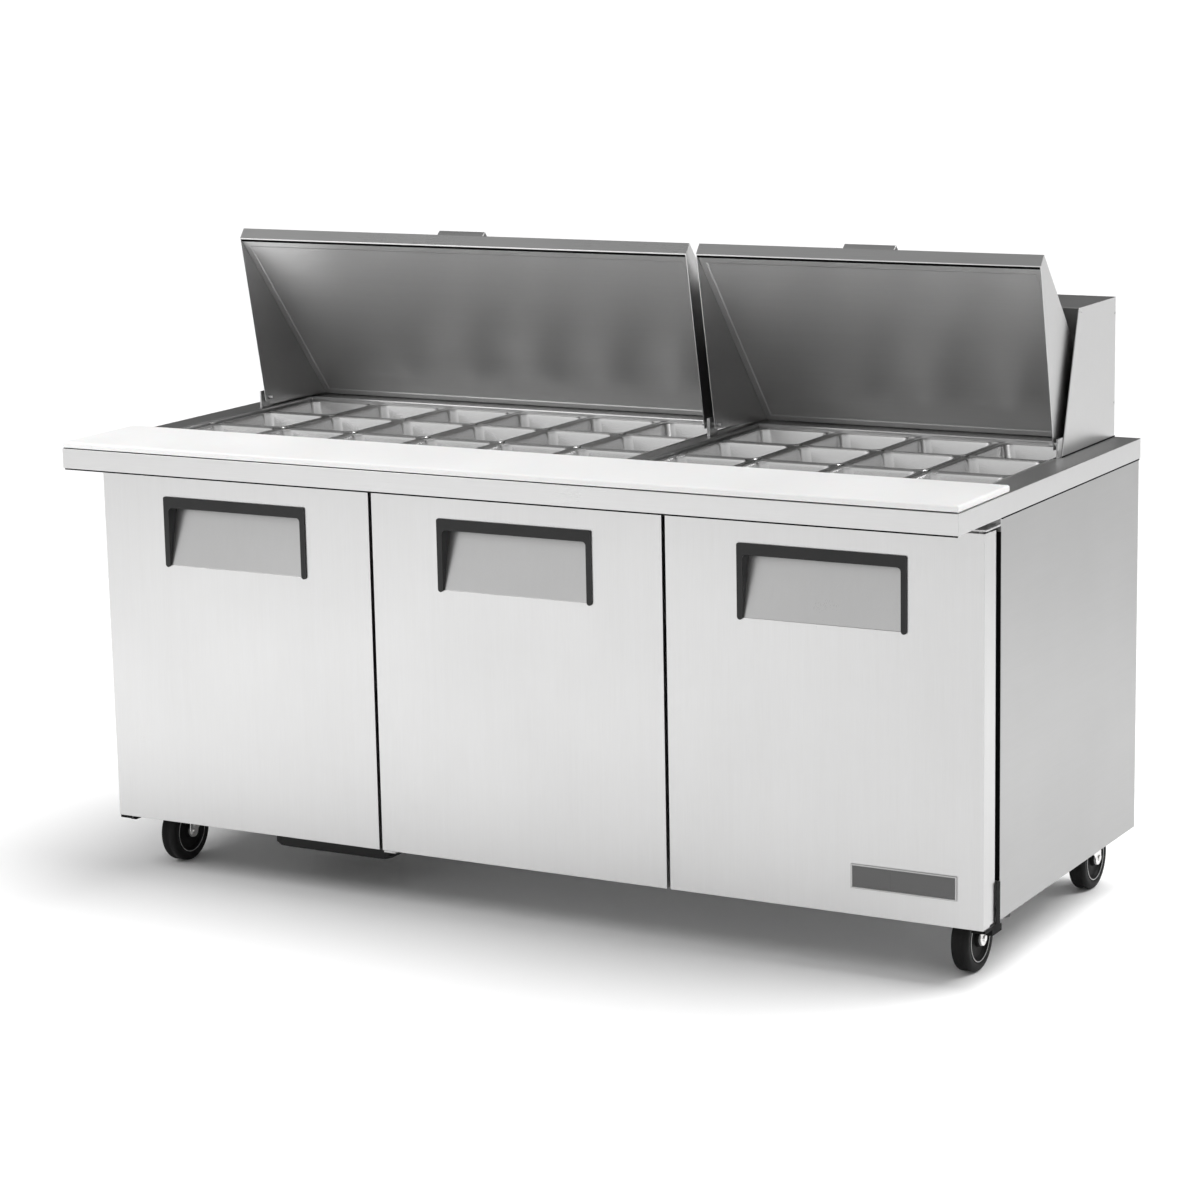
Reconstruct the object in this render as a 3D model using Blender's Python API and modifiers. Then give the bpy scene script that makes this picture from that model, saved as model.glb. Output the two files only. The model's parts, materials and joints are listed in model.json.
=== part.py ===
"""A three-door refrigerated sandwich prep table on casters.

It has an insulated cabinet, a counter with two pan wells, a cutting board along the front, a hood along the
rear and two hinged lids over the wells. Metres, +Z up, X along the counter, the doors facing -Y.
"""

from math import atan2, cos, pi, radians, sin

import bmesh
import bpy
from mathutils import Vector

# Overall
WIDTH = 1.838
DEPTH = 0.867
TOP = 0.860
FASCIA = 0.038
HOOD_HEIGHT = 0.262
GAP = 0.0003
SHEET = 0.002
REACH = 0.100  # how far a cutter runs past what it cuts

# Cabinet
SIDE_FACE = 0.9165
SIDE_WALL = 0.042
FRONT = -0.2425
REAR = 0.4315
SKIRT = 0.112
BASE = 0.150
FLOOR = 0.192
LINER = 0.004
STEP_FACE = 0.150
STEP_TOP = 0.440
STEP_WALL = 0.040
REAR_WALL = 0.0415
FRAME_DEPTH = 0.040
STILE = 0.030
MULLION = 0.060
SHELF_HEIGHT = 0.420
SHELF_WIRE = 0.006
SHELF_SLOTS = 12
LOUVRE = (0.110, 0.006)
LOUVRE_PITCH = (0.160, 0.022)
LOUVRE_COUNT = (10, 7)

# Counter
BOARD_DEPTH = 0.225
BOARD_THICKNESS = 0.0127
WELL_SIDE = 0.855
WELL_FRONT = -0.2015
WELL_REAR = 0.3265
BRIDGE_CENTRE = 0.161
BRIDGE = 0.040
PAN_ROWS = 3
PAN_BAR = 0.009
PAN_PLAY = 0.001
PAN_BAR_TOP = TOP - PAN_BAR

# Hood
HOOD_SIDE = 0.867
HOOD_FRONT_LOW = 0.1665
HOOD_FRONT_HIGH = 0.2445

# Lids: the side outline is given closed, as (y, z) from the pivot
PIVOT_Y = HOOD_FRONT_LOW
PIVOT_Z = TOP + 0.022
LID_OPEN = radians(79.5)
LID_GAP = 0.020
LID_LIP = (-0.355, 0.001)
LID_RIM = (-0.339, -0.017)
LID_HEEL = (0.006, -0.012)
LID_BACK_LOW = (0.058, 0.203)
LID_BACK_HIGH = (0.057, 0.238)
LID_INNER_START = (-0.333, -0.010)
LID_INNER_SLOPE = 0.5542
LID_LINER = 0.003
LID_PULL_WIDTH = 0.102
LID_PULL_START = 0.004
LID_PULL_FOOT = 0.036
LID_PULL_GRIP = 0.019
LID_PULL_HEIGHT = 0.016
PIVOT_BRACKET = (0.003, 0.032, 0.035)
PIVOT_REACH = 0.012
PIVOT_PIN = 0.004
PIN_PLAY = 0.0004

# Doors
DOOR_FACE = -0.3145
DOOR_WIDTH = 0.606
DOOR_PITCH = 0.613
DOOR_LOW = 0.112
DOOR_HIGH = 0.8055
DOOR_BACK = -0.260
DOOR_LINER_BACK = -0.2552
GASKET_BACK = -0.2432
GASKET_LOW = 0.196
GASKET_HIGH = 0.799
GASKET_INSET = 0.008
GASKET_WIDTH = 0.016
DOOR_LINER_INSET = 0.006
HINGE_INSET = 0.012
HINGE_PIN = 0.004
HINGE_PLATE = 0.003
HINGE_BITE = 0.008
HINGE_CLEAR = 0.0025
BRACKET_HALF = 0.0125

# Door handles
HANDLE_WIDTH = 0.323
HANDLE_TOP = TOP - 0.102
HANDLE_BOTTOM = TOP - 0.239
HANDLE_BAR = 0.021
HANDLE_LEG = 0.011
HANDLE_PROUD = 0.003
HANDLE_CORNER = 0.004
RECESS_DEPTH = 0.031
RECESS_FOOT = 0.001
RECESS_MARGIN = 0.004

# Name plate, from the middle of the right door
PLATE_WIDTH = 0.200
PLATE_HEIGHT = 0.044
PLATE_CENTRE = 0.154
PLATE_FOOT = 0.160
PLATE_PROUD = 0.0027

# Casters
KINGPIN_X = 0.846
KINGPIN_FRONT = -0.1685
KINGPIN_REAR = 0.3415
TRAIL = 0.028
WHEEL_RADIUS = 0.061
WHEEL_WIDTH = 0.034
AXLE_RADIUS = 0.006
FORK_HALF = 0.0205
FORK_SHEET = 0.0025
FORK_TOP = 0.130
RACE_TOP = 0.1395
STEM_RADIUS = 0.009
STEM_TOP = 0.165
MOUNT_PLATE = 0.142
MOUNT_HALF = (0.024, 0.045)
PEDAL_PIVOT = (0.004, 0.098)
PEDAL_NEAR = FORK_HALF + FORK_SHEET + 0.0005
PEDAL_FAR = 0.0385
PEDAL_BOSS = 0.009
PEDAL_TIP = 0.0055
PEDAL_REACH = 0.046
PEDAL_DROP = -0.012

# Cold system, as (low corner, high corner), (centre, radius) or (x, y)
EVAPORATOR = ((-0.30, 0.215, STEP_TOP + GAP), (0.30, 0.375, 0.560))
EVAPORATOR_FAN = ((0, 0.200, 0.503), 0.052)
CONDENSER = ((-0.10, 0.370, FLOOR + GAP), (0.20, 0.415, 0.385))
CONDENSER_FAN = ((0.05, 0.345, 0.290), 0.080)
FAN_HALF_DEPTH = 0.005
FAN_BLADES = 5
COMPRESSOR = (-0.45, 0.310)
COMPRESSOR_RADIUS = 0.080
COMPRESSOR_TOP = 0.360
COMPRESSOR_DOME = 0.030

# Condensate tray
TRAY = ((-0.610, -0.2335, 0.062), (-0.341, -0.0135, BASE - GAP))
TRAY_WALL = 0.010
TRAY_CORNER = 0.010

HALF_WIDTH = WIDTH / 2
HALF_DEPTH = DEPTH / 2
UNDER_TOP = TOP - FASCIA
BETWEEN_SIDES = SIDE_FACE - SIDE_WALL - GAP
ROUND = 24

LOOKS = {
    "brushed_steel": ((0.62, 0.62, 0.63), 1.0, 0.32),
    "dark_steel": ((0.34, 0.34, 0.35), 1.0, 0.30),
    "galvanised": ((0.55, 0.56, 0.57), 0.9, 0.45),
    "zinc": ((0.78, 0.78, 0.76), 1.0, 0.22),
    "aluminium": ((0.72, 0.73, 0.74), 1.0, 0.40),
    "copper": ((0.72, 0.42, 0.28), 1.0, 0.35),
    "black_plastic": ((0.018, 0.018, 0.019), 0.0, 0.42),
    "black_rubber": ((0.012, 0.012, 0.012), 0.0, 0.62),
    "black_paint": ((0.02, 0.02, 0.022), 0.0, 0.35),
    "white_board": ((0.86, 0.86, 0.85), 0.0, 0.45),
    "white_liner": ((0.80, 0.81, 0.82), 0.0, 0.35),
    "silver_plate": ((0.50, 0.51, 0.52), 0.6, 0.35),
}

TURN = {"X": (pi / 2, 0, pi / 2), "Y": (pi / 2, 0, 0), "Z": (0, 0, 0)}


def clear_scene():
    for obj in list(bpy.data.objects):
        bpy.data.objects.remove(obj)


def new_collection(name):
    made = bpy.data.collections.new(name)
    bpy.context.scene.collection.children.link(made)
    return made


def give_material(obj, look):
    color, metallic, roughness = LOOKS[look]
    made = bpy.data.materials.new(obj.name)
    made.use_nodes = True
    shader = made.node_tree.nodes["Principled BSDF"]
    shader.inputs["Base Color"].default_value = (*color, 1)
    shader.inputs["Metallic"].default_value = metallic
    shader.inputs["Roughness"].default_value = roughness
    obj.data.materials.append(made)


def add_object(name, mesh, look=None, parent=None):
    """Links a mesh as a part with this look, or as a hidden cutter when look is None."""
    obj = bpy.data.objects.new(name, mesh)
    obj.parent = parent
    if look:
        PARTS.objects.link(obj)
        give_material(obj, look)
    else:
        CUTTERS.objects.link(obj)
        obj.hide_render = True
        obj.display_type = "WIRE"
    return obj


def pivot(name, location, tilt=0.0, parent=None):
    """An empty on a joint's axis, which the moving pieces are parented to."""
    made = bpy.data.objects.new(name, None)
    PARTS.objects.link(made)
    made.location = location
    made.rotation_euler.x = tilt
    made.parent = parent
    return made


def box(name, low, high, look=None, parent=None):
    size = Vector(high) - Vector(low)
    shape = bmesh.new()
    bmesh.ops.create_cube(shape, size=1)
    bmesh.ops.scale(shape, vec=size, verts=shape.verts)
    mesh = bpy.data.meshes.new(name)
    shape.to_mesh(mesh)
    shape.free()
    made = add_object(name, mesh, look, parent)
    made.location = (Vector(low) + Vector(high)) / 2
    return made


def drum(name, centre, radius, low, high, axis="Z", look=None, parent=None, segments=ROUND):
    """A cylinder along an axis: centre is its place across the axis, low and high are its ends along it."""
    shape = bmesh.new()
    bmesh.ops.create_cone(
        shape, cap_ends=True, segments=segments, radius1=radius, radius2=radius, depth=high - low
    )
    mesh = bpy.data.meshes.new(name)
    shape.to_mesh(mesh)
    shape.free()
    made = add_object(name, mesh, look, parent)
    place_across(made, axis, centre, (low + high) / 2)
    smooth(made)
    return made


def place_across(obj, axis, across, along):
    """Turns local Z to the axis, and puts the origin at a point given across and along it."""
    spots = {"X": (along, *across), "Y": (across[0], along, across[1]), "Z": (*across, along)}
    obj.location = spots[axis]
    obj.rotation_euler = TURN[axis]


def prism(name, outlines, axis, low, high, look=None, parent=None):
    """An outline, with holes as further outlines, extruded along an axis from low to high."""
    curve = bpy.data.curves.new(name, "CURVE")
    curve.dimensions = "2D"
    curve.fill_mode = "BOTH"
    curve.extrude = (high - low) / 2
    for outline in outlines:
        spline = curve.splines.new("POLY")
        spline.points.add(len(outline) - 1)
        for point, (across, up) in zip(spline.points, outline):
            point.co = (across, up, 0, 1)
        spline.use_cyclic_u = True
    guide = bpy.data.objects.new(name, curve)
    CUTTERS.objects.link(guide)
    bpy.context.view_layer.update()
    graph = bpy.context.evaluated_depsgraph_get()
    mesh = bpy.data.meshes.new_from_object(guide.evaluated_get(graph))
    bpy.data.objects.remove(guide)
    bpy.data.curves.remove(curve)
    mesh.materials.clear()
    shape = bmesh.new()
    shape.from_mesh(mesh)
    bmesh.ops.remove_doubles(shape, verts=shape.verts, dist=1e-6)
    bmesh.ops.recalc_face_normals(shape, faces=shape.faces)
    shape.to_mesh(mesh)
    shape.free()
    made = add_object(name, mesh, look, parent)
    place_across(made, axis, (0, 0), (low + high) / 2)
    return made


def turned(name, profile, look, parent, axis="X", segments=32):
    """A profile of (radius, height) points, closed into a ring and turned about an axis."""
    mesh = bpy.data.meshes.new(name)
    count = len(profile)
    edges = [(i, (i + 1) % count) for i in range(count)]
    mesh.from_pydata([(radius, 0, height) for radius, height in profile], edges, [])
    made = add_object(name, mesh, look, parent)
    made.rotation_euler = TURN[axis]
    screw = made.modifiers.new("turn", "SCREW")
    screw.steps = segments
    screw.render_steps = segments
    screw.use_merge_vertices = True
    screw.merge_threshold = 1e-6
    screw.use_smooth_shade = True
    return made


def smooth(obj, angle=35):
    obj.data.shade_smooth()
    obj.data.set_sharp_from_angle(angle=radians(angle))


def bevel(obj, width, segments=1, angle=30):
    made = obj.modifiers.new("rounded", "BEVEL")
    made.width = width
    made.segments = segments
    made.limit_method = "ANGLE"
    made.angle_limit = radians(angle)


def cut(obj, cutter):
    made = obj.modifiers.new("cut", "BOOLEAN")
    made.operation = "DIFFERENCE"
    made.object = cutter


def join(obj, piece):
    made = obj.modifiers.new("join", "BOOLEAN")
    made.operation = "UNION"
    made.object = piece


def rectangle(x_low, y_low, x_high, y_high):
    return [(x_low, y_low), (x_high, y_low), (x_high, y_high), (x_low, y_high)]


def arc(centre, radius, start, end, steps):
    """Points along an arc, with the angles in degrees."""
    turns = [radians(start + (end - start) * i / steps) for i in range(steps + 1)]
    return [(centre[0] + radius * cos(a), centre[1] + radius * sin(a)) for a in turns]


# ---------------------------------------------------------------- cabinet


def make_side_panels():
    """Insulated walls whose outer sheet reaches down as a skirt past the floor."""
    inner = SIDE_FACE - SIDE_WALL
    skin = SIDE_FACE - SHEET
    top = UNDER_TOP - GAP
    for side, sign in (("left", -1), ("right", 1)):
        outline = [(skin, SKIRT), (SIDE_FACE, SKIRT), (SIDE_FACE, top)]
        outline += [(inner, top), (inner, BASE), (skin, BASE)]
        outline = [(sign * x, z) for x, z in outline]
        panel = prism(f"{side}_side_panel", [outline], "Y", FRONT, REAR, "brushed_steel")
        bevel(panel, 0.0008)


def make_base_panel():
    """The insulated floor, with a plate and a socket for each caster under it."""
    low = (-BETWEEN_SIDES, FRONT, BASE)
    high = (BETWEEN_SIDES, REAR, FLOOR)
    base = box("base_panel", low, high, "galvanised")
    half_x, half_y = MOUNT_HALF
    most = BETWEEN_SIDES - 0.001
    for name, x, y in caster_spots():
        low = (max(x - half_x, -most), y - half_y, MOUNT_PLATE)
        high = (min(x + half_x, most), y + half_y, BASE + 0.004)
        join(base, box(f"{name}_plate", low, high))
        hole = STEM_RADIUS + 2 * PIN_PLAY
        cut(base, drum(f"{name}_socket", (x, y), hole, SKIRT, STEM_TOP + 0.003))


def make_interior_liner():
    """A tub, open to the front and to the wells, stepped over the machine compartment at the rear."""
    low, top = FLOOR + GAP, UNDER_TOP - GAP
    front = FRONT + FRAME_DEPTH + GAP
    rear = REAR - REAR_WALL - GAP
    side = BETWEEN_SIDES - GAP
    step_back = STEP_FACE + STEP_WALL
    step_low = STEP_TOP - STEP_WALL
    outer = [(front, low), (step_back, low), (step_back, step_low)]
    outer += [(rear, step_low), (rear, top), (front, top)]
    inner = [
        (front - REACH, low + LINER),
        (STEP_FACE, low + LINER),
        (STEP_FACE, STEP_TOP),
        (rear - LINER, STEP_TOP),
        (rear - LINER, top + REACH),
        (front - REACH, top + REACH),
    ]
    liner = prism("interior_liner", [outer], "X", -side, side, "white_liner")
    cut(liner, prism("liner_space", [inner], "X", LINER - side, side - LINER))


def make_rear():
    """The foamed back wall, and below it a slotted sheet over the machine compartment."""
    low = STEP_TOP - STEP_WALL
    corner = (-BETWEEN_SIDES, REAR - REAR_WALL, low)
    box("rear_panel", corner, (BETWEEN_SIDES, REAR, UNDER_TOP - GAP), "galvanised")
    middle = (FLOOR + low) / 2
    columns, rows = LOUVRE_COUNT
    half_x, half_z = LOUVRE[0] / 2, LOUVRE[1] / 2
    outlines = [rectangle(-BETWEEN_SIDES, FLOOR + GAP, BETWEEN_SIDES, low - GAP)]
    for column in range(columns):
        for row in range(rows):
            x = (column - (columns - 1) / 2) * LOUVRE_PITCH[0]
            z = middle + (row - (rows - 1) / 2) * LOUVRE_PITCH[1]
            outlines.append(rectangle(x - half_x, z - half_z, x + half_x, z + half_z))
    prism("rear_grille", outlines, "Y", REAR - 2 * SHEET, REAR, "galvanised")


def bays():
    """The three openings of the front frame: name, x from, x to."""
    inner = BETWEEN_SIDES - STILE
    half = MULLION / 2
    line = DOOR_PITCH / 2
    return [
        ("left", -inner, -line - half),
        ("middle", -line + half, line - half),
        ("right", line + half, inner),
    ]


def make_front_frame():
    low, high = FLOOR + GAP, UNDER_TOP - GAP
    outlines = [rectangle(-BETWEEN_SIDES, low, BETWEEN_SIDES, high)]
    for _, x_low, x_high in bays():
        outlines.append(rectangle(x_low, low + STILE, x_high, high - FASCIA))
    prism("front_frame", outlines, "Y", FRONT, FRONT + FRAME_DEPTH, "brushed_steel")


def make_shelves():
    """Wire shelves, drawn as slotted plates with a bar at each end."""
    wire, clear = SHELF_WIRE, 0.004
    front, rear = FRONT + FRAME_DEPTH + 2 * wire, STEP_FACE - wire
    for name, x_low, x_high in bays():
        outlines = [rectangle(x_low + clear, front, x_high - clear, rear)]
        pitch = (x_high - x_low - 2 * clear - wire) / SHELF_SLOTS
        for i in range(SHELF_SLOTS):
            x = x_low + clear + wire + i * pitch
            outlines.append(rectangle(x, front + 2 * wire, x + pitch - wire, rear - 2 * wire))
        prism(f"shelf_{name}", outlines, "Z", SHELF_HEIGHT, SHELF_HEIGHT + wire, "zinc")


# ---------------------------------------------------------------- counter


def make_countertop():
    outer = rectangle(-HALF_WIDTH, -HALF_DEPTH, HALF_WIDTH, HALF_DEPTH)
    well = rectangle(-WELL_SIDE, WELL_FRONT, WELL_SIDE, WELL_REAR)
    top = prism("countertop", [outer, well], "Z", UNDER_TOP, TOP, "brushed_steel")
    bevel(top, 0.0015, 2)
    low = (BRIDGE_CENTRE - BRIDGE / 2, WELL_FRONT + GAP, UNDER_TOP)
    high = (BRIDGE_CENTRE + BRIDGE / 2, WELL_REAR - GAP, TOP)
    box("counter_bridge", low, high, "brushed_steel")


def make_cutting_board():
    side = HALF_WIDTH - 0.0005
    low = (-side, -HALF_DEPTH, TOP + GAP)
    high = (side, -HALF_DEPTH + BOARD_DEPTH, TOP + GAP + BOARD_THICKNESS)
    board = box("cutting_board", low, high, "white_board")
    bevel(board, 0.004, 3)


def wells():
    """The two pan wells: name, x from, x to."""
    half = BRIDGE / 2
    return [
        ("left", -WELL_SIDE, BRIDGE_CENTRE - half),
        ("right", BRIDGE_CENTRE + half, WELL_SIDE),
    ]


def make_pan_frames():
    """The loose frames that the pans' rims rest on: one opening for each row of pans."""
    pitch = (WELL_REAR - WELL_FRONT) / PAN_ROWS
    half = PAN_BAR / 2
    for name, x_low, x_high in wells():
        play = PAN_PLAY
        outlines = [rectangle(x_low + play, WELL_FRONT + play, x_high - play, WELL_REAR - play)]
        for row in range(PAN_ROWS):
            front = WELL_FRONT + row * pitch
            hole = (x_low + PAN_BAR, front + half, x_high - PAN_BAR, front + pitch - half)
            outlines.append(rectangle(*hole))
        prism(f"pan_frame_{name}", outlines, "Z", PAN_BAR_TOP - PAN_BAR, PAN_BAR_TOP, "brushed_steel")


# ---------------------------------------------------------------- hood and lids


def make_hood():
    """A sheet hood along the rear, open underneath and in front for the lids' tails."""
    low, high = TOP + GAP, TOP + HOOD_HEIGHT
    outer = [(HOOD_FRONT_LOW, low), (HALF_DEPTH, low), (HALF_DEPTH, high), (HOOD_FRONT_HIGH, high)]
    rear, roof = HALF_DEPTH - SHEET, high - SHEET
    inner = rectangle(HOOD_FRONT_LOW - REACH, low - REACH, rear, roof)
    hood = prism("hood_shell", [outer], "X", -HOOD_SIDE, HOOD_SIDE, "brushed_steel")
    cut(hood, prism("hood_space", [inner], "X", SHEET - HOOD_SIDE, HOOD_SIDE - SHEET))


def lids():
    """The two lids: name, x from, x to."""
    half = LID_GAP / 2
    return [
        ("left", -WELL_SIDE, BRIDGE_CENTRE - half),
        ("right", BRIDGE_CENTRE + half, WELL_SIDE),
    ]


def lid_inner_z(y):
    """Height of the underside of the lid's insulated panel."""
    return LID_INNER_START[1] + (y - LID_INNER_START[0]) * LID_INNER_SLOPE


def make_lid(name, x_low, x_high):
    """An insulated slope with a cheek at each end, drawn closed about its pivot and tilted open."""
    hinge = pivot(f"lid_{name}_pivot", (0, PIVOT_Y, PIVOT_Z), tilt=-LID_OPEN)
    outline = [LID_RIM, LID_LIP, LID_BACK_HIGH, LID_BACK_LOW, LID_HEEL]
    shell = prism(f"lid_{name}", [outline], "X", x_low, x_high, "brushed_steel", hinge)
    start = LID_INNER_START
    beyond = 3 * REACH
    below = [start, (beyond, lid_inner_z(beyond)), (beyond, -beyond), (start[0], -beyond)]
    cut(shell, prism(f"lid_{name}_space", [below], "X", x_low + SHEET, x_high - SHEET, parent=hinge))
    hole = PIVOT_PIN + PIN_PLAY
    bore = drum(f"lid_{name}_bore", (0, 0), hole, x_low - REACH, x_high + REACH, "X", parent=hinge)
    cut(shell, bore)
    front, back = start[0] + GAP, LID_BACK_HIGH[0] - GAP
    sheet = [
        (front, lid_inner_z(front) - GAP),
        (front, lid_inner_z(front) - GAP - LID_LINER),
        (back, lid_inner_z(back) - GAP - LID_LINER),
        (back, lid_inner_z(back) - GAP),
    ]
    inset = SHEET + GAP
    prism(f"lid_{name}_liner", [sheet], "X", x_low + inset, x_high - inset, "dark_steel", hinge)
    make_lid_pull(name, (x_low + x_high) / 2, hinge)


def make_lid_pull(name, centre, hinge):
    """A folded strip across the slope just behind the lip, open to the rear for the fingers."""
    slope = atan2(LID_BACK_HIGH[1] - LID_LIP[1], LID_BACK_HIGH[0] - LID_LIP[0])
    start, height = LID_PULL_START, LID_PULL_HEIGHT
    section = [
        (start, GAP),
        (LID_PULL_FOOT, GAP),
        (LID_PULL_FOOT, GAP + SHEET),
        (start + SHEET, GAP + SHEET),
        (start + SHEET, height - SHEET),
        (LID_PULL_GRIP, height - SHEET),
        (LID_PULL_GRIP, height),
        (start, height),
    ]
    outline = [
        (LID_LIP[0] + u * cos(slope) - n * sin(slope), LID_LIP[1] + u * sin(slope) + n * cos(slope))
        for u, n in section
    ]
    half = LID_PULL_WIDTH / 2
    prism(f"lid_{name}_handle", [outline], "X", centre - half, centre + half, "brushed_steel", hinge)


def make_lid_pivots():
    """A bracket and a pin at each end of the lids' axis, and one bracket with a double pin between them."""
    plate, depth, height = PIVOT_BRACKET
    middle = BRIDGE_CENTRE
    outer = HOOD_SIDE - SHEET - GAP
    spots = [
        ("left", -outer, -outer + plate, -outer, -WELL_SIDE + PIVOT_REACH),
        ("centre", middle - plate, middle + plate, middle - LID_GAP, middle + LID_GAP),
        ("right", outer - plate, outer, WELL_SIDE - PIVOT_REACH, outer),
    ]
    spot = (PIVOT_Y, PIVOT_Z)
    for name, x_low, x_high, pin_low, pin_high in spots:
        low = (x_low, PIVOT_Y - depth / 2, TOP + GAP)
        high = (x_high, PIVOT_Y + depth / 2, TOP + height)
        bracket = box(f"lid_pivot_{name}", low, high, "zinc")
        join(bracket, drum(f"lid_pin_{name}", spot, PIVOT_PIN, pin_low, pin_high, "X", segments=16))


# ---------------------------------------------------------------- doors


def doors():
    """The three doors: name, centre x, and -1 or 1 for the side that its hinge is on."""
    return [("left", -DOOR_PITCH, -1), ("middle", 0, -1), ("right", DOOR_PITCH, 1)]


def hinge_line(centre, side):
    """Where the hinge's axis stands, as (x, y)."""
    return centre + side * (DOOR_WIDTH / 2 - HINGE_INSET), DOOR_FACE + HINGE_INSET


def recess_profile(inset, depth_cut, outside):
    """Side outline (y, z) of the hand recess: deepest at the top, running out at the foot."""
    top, foot = HANDLE_TOP - inset, HANDLE_BOTTOM + inset
    return [
        (outside, foot),
        (DOOR_FACE + RECESS_FOOT - depth_cut, foot),
        (DOOR_FACE + RECESS_DEPTH - depth_cut, top),
        (outside, top),
    ]


def make_door(name, centre, side):
    """A foamed door with a hand recess, its liner, gasket and handle, all on the hinge's axis."""
    axis_x, axis_y = hinge_line(centre, side)
    hinge = pivot(f"door_{name}_pivot", (axis_x, axis_y, 0))
    off = Vector((axis_x, axis_y, 0))
    half = DOOR_WIDTH / 2
    shell = box(
        f"door_{name}",
        Vector((centre - half, DOOR_FACE, DOOR_LOW)) - off,
        Vector((centre + half, DOOR_BACK, DOOR_HIGH)) - off,
        "brushed_steel",
        hinge,
    )
    bevel(shell, 0.002, 2)
    shift = centre - axis_x
    outside = DOOR_FACE - REACH
    profile = [(y - axis_y, z) for y, z in recess_profile(RECESS_MARGIN, 0, outside)]
    span = HANDLE_WIDTH / 2 - RECESS_MARGIN
    cut(shell, prism(f"recess_{name}", [profile], "X", shift - span, shift + span, parent=hinge))
    hole = HINGE_PIN + PIN_PLAY
    bite = HINGE_BITE + 0.003
    for end, z in (("low", DOOR_LOW), ("high", DOOR_HIGH)):
        cut(shell, drum(f"door_{name}_bore_{end}", (0, 0), hole, z - bite, z + bite, parent=hinge))
    inset = DOOR_LINER_INSET
    box(
        f"door_{name}_liner",
        Vector((centre - half + inset, DOOR_BACK + GAP, GASKET_LOW - inset)) - off,
        Vector((centre + half - inset, DOOR_LINER_BACK, GASKET_HIGH + inset / 2)) - off,
        "white_liner",
        hinge,
    )
    edge = half - GASKET_INSET
    inner = edge - GASKET_WIDTH
    outlines = [
        rectangle(shift - edge, GASKET_LOW, shift + edge, GASKET_HIGH),
        rectangle(
            shift - inner, GASKET_LOW + GASKET_WIDTH, shift + inner, GASKET_HIGH - GASKET_WIDTH
        ),
    ]
    back, front = GASKET_BACK - axis_y, DOOR_LINER_BACK + GAP - axis_y
    prism(f"door_{name}_gasket", outlines, "Y", front, back, "black_rubber", hinge)
    make_handle(name, shift, axis_y, hinge)
    if name == "right":
        make_name_plate(shift, axis_y, hinge)


def handle_outline():
    """The U of the handle's face, as (x, z): rounded outer corners, a fillet inside, and round leg ends."""
    half, leg, corner = HANDLE_WIDTH / 2, HANDLE_LEG, HANDLE_CORNER
    top, foot, bar = HANDLE_TOP, HANDLE_BOTTOM, HANDLE_TOP - HANDLE_BAR
    fillet, tip = 0.007, leg / 2
    right = arc((half - tip, foot + tip), tip, -180, 0, 6)
    right += arc((half - corner, top - corner), corner, 0, 90, 4)
    inner = arc((half - leg - fillet, bar - fillet), fillet, 90, 0, 4)
    mirrored = [(-x, z) for x, z in reversed(right)]
    inner_left = [(-x, z) for x, z in reversed(inner)]
    return right + mirrored + inner_left + inner


def make_handle(name, shift, axis_y, hinge):
    """A U-shaped frame on the door's face, with walls that line the sides and the ceiling of the recess."""
    face = DOOR_FACE - axis_y
    outline = [(x + shift, z) for x, z in handle_outline()]
    proud = face - HANDLE_PROUD
    frame = prism(f"door_{name}_handle", [outline], "Y", proud, face - GAP, "black_plastic", hinge)
    clear = RECESS_MARGIN + GAP
    skew = 0.0008
    walls = recess_profile(clear, skew, DOOR_FACE - HANDLE_PROUD / 2)
    profile = [(y - axis_y, z) for y, z in walls]
    span = HANDLE_WIDTH / 2 - clear
    block = prism(f"handle_{name}_walls", [profile], "X", shift - span, shift + span, parent=hinge)
    half = HANDLE_WIDTH / 2 - HANDLE_LEG
    low = (shift - half, face - REACH, HANDLE_BOTTOM - REACH)
    high = (shift + half, face + REACH, HANDLE_TOP - HANDLE_BAR)
    cut(block, box(f"handle_{name}_hollow", low, high, parent=hinge))
    join(frame, block)


def make_name_plate(shift, axis_y, hinge):
    """A blank plate low on the hinge side of the right door."""
    centre, face = shift + PLATE_CENTRE, DOOR_FACE - axis_y
    low = (centre - PLATE_WIDTH / 2, face - PLATE_PROUD, PLATE_FOOT)
    high = (centre + PLATE_WIDTH / 2, face - GAP, PLATE_FOOT + PLATE_HEIGHT)
    plate = box("name_plate", low, high, "silver_plate", hinge)
    bevel(plate, 0.0008)


def make_door_hinges():
    """Brackets screwed to the cabinet's front, each with a pin that stands in the door's edge."""
    for name, centre, side in doors():
        x, y = hinge_line(centre, side)
        top = DOOR_HIGH + HINGE_CLEAR
        make_bracket(f"hinge_top_{name}", (x, y), top, top, UNDER_TOP - 0.001, DOOR_HIGH - HINGE_BITE)
        low = DOOR_LOW - HINGE_CLEAR - HINGE_PLATE
        make_bracket(f"hinge_bottom_{name}", (x, y), low, low, FLOOR - HINGE_BITE, DOOR_LOW + HINGE_BITE)


def make_bracket(name, spot, plate_low, leg_low, leg_high, pin_end):
    """A flat plate over the door's edge, a leg down the cabinet's front, and a pin up to pin_end."""
    x, y = spot
    low_x, high_x = x - BRACKET_HALF, x + BRACKET_HALF
    back = FRONT - GAP
    plate_high = plate_low + HINGE_PLATE
    plate = box(name, (low_x, y - HINGE_INSET / 2, plate_low), (high_x, back, plate_high), "zinc")
    join(plate, box(f"{name}_leg", (low_x, back - HINGE_PLATE, leg_low), (high_x, back, leg_high)))
    inside = plate_low + HINGE_PLATE / 2
    pin_low, pin_high = sorted((inside, pin_end))
    join(plate, drum(f"{name}_pin", spot, HINGE_PIN, pin_low, pin_high, segments=16))


# ---------------------------------------------------------------- casters


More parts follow.
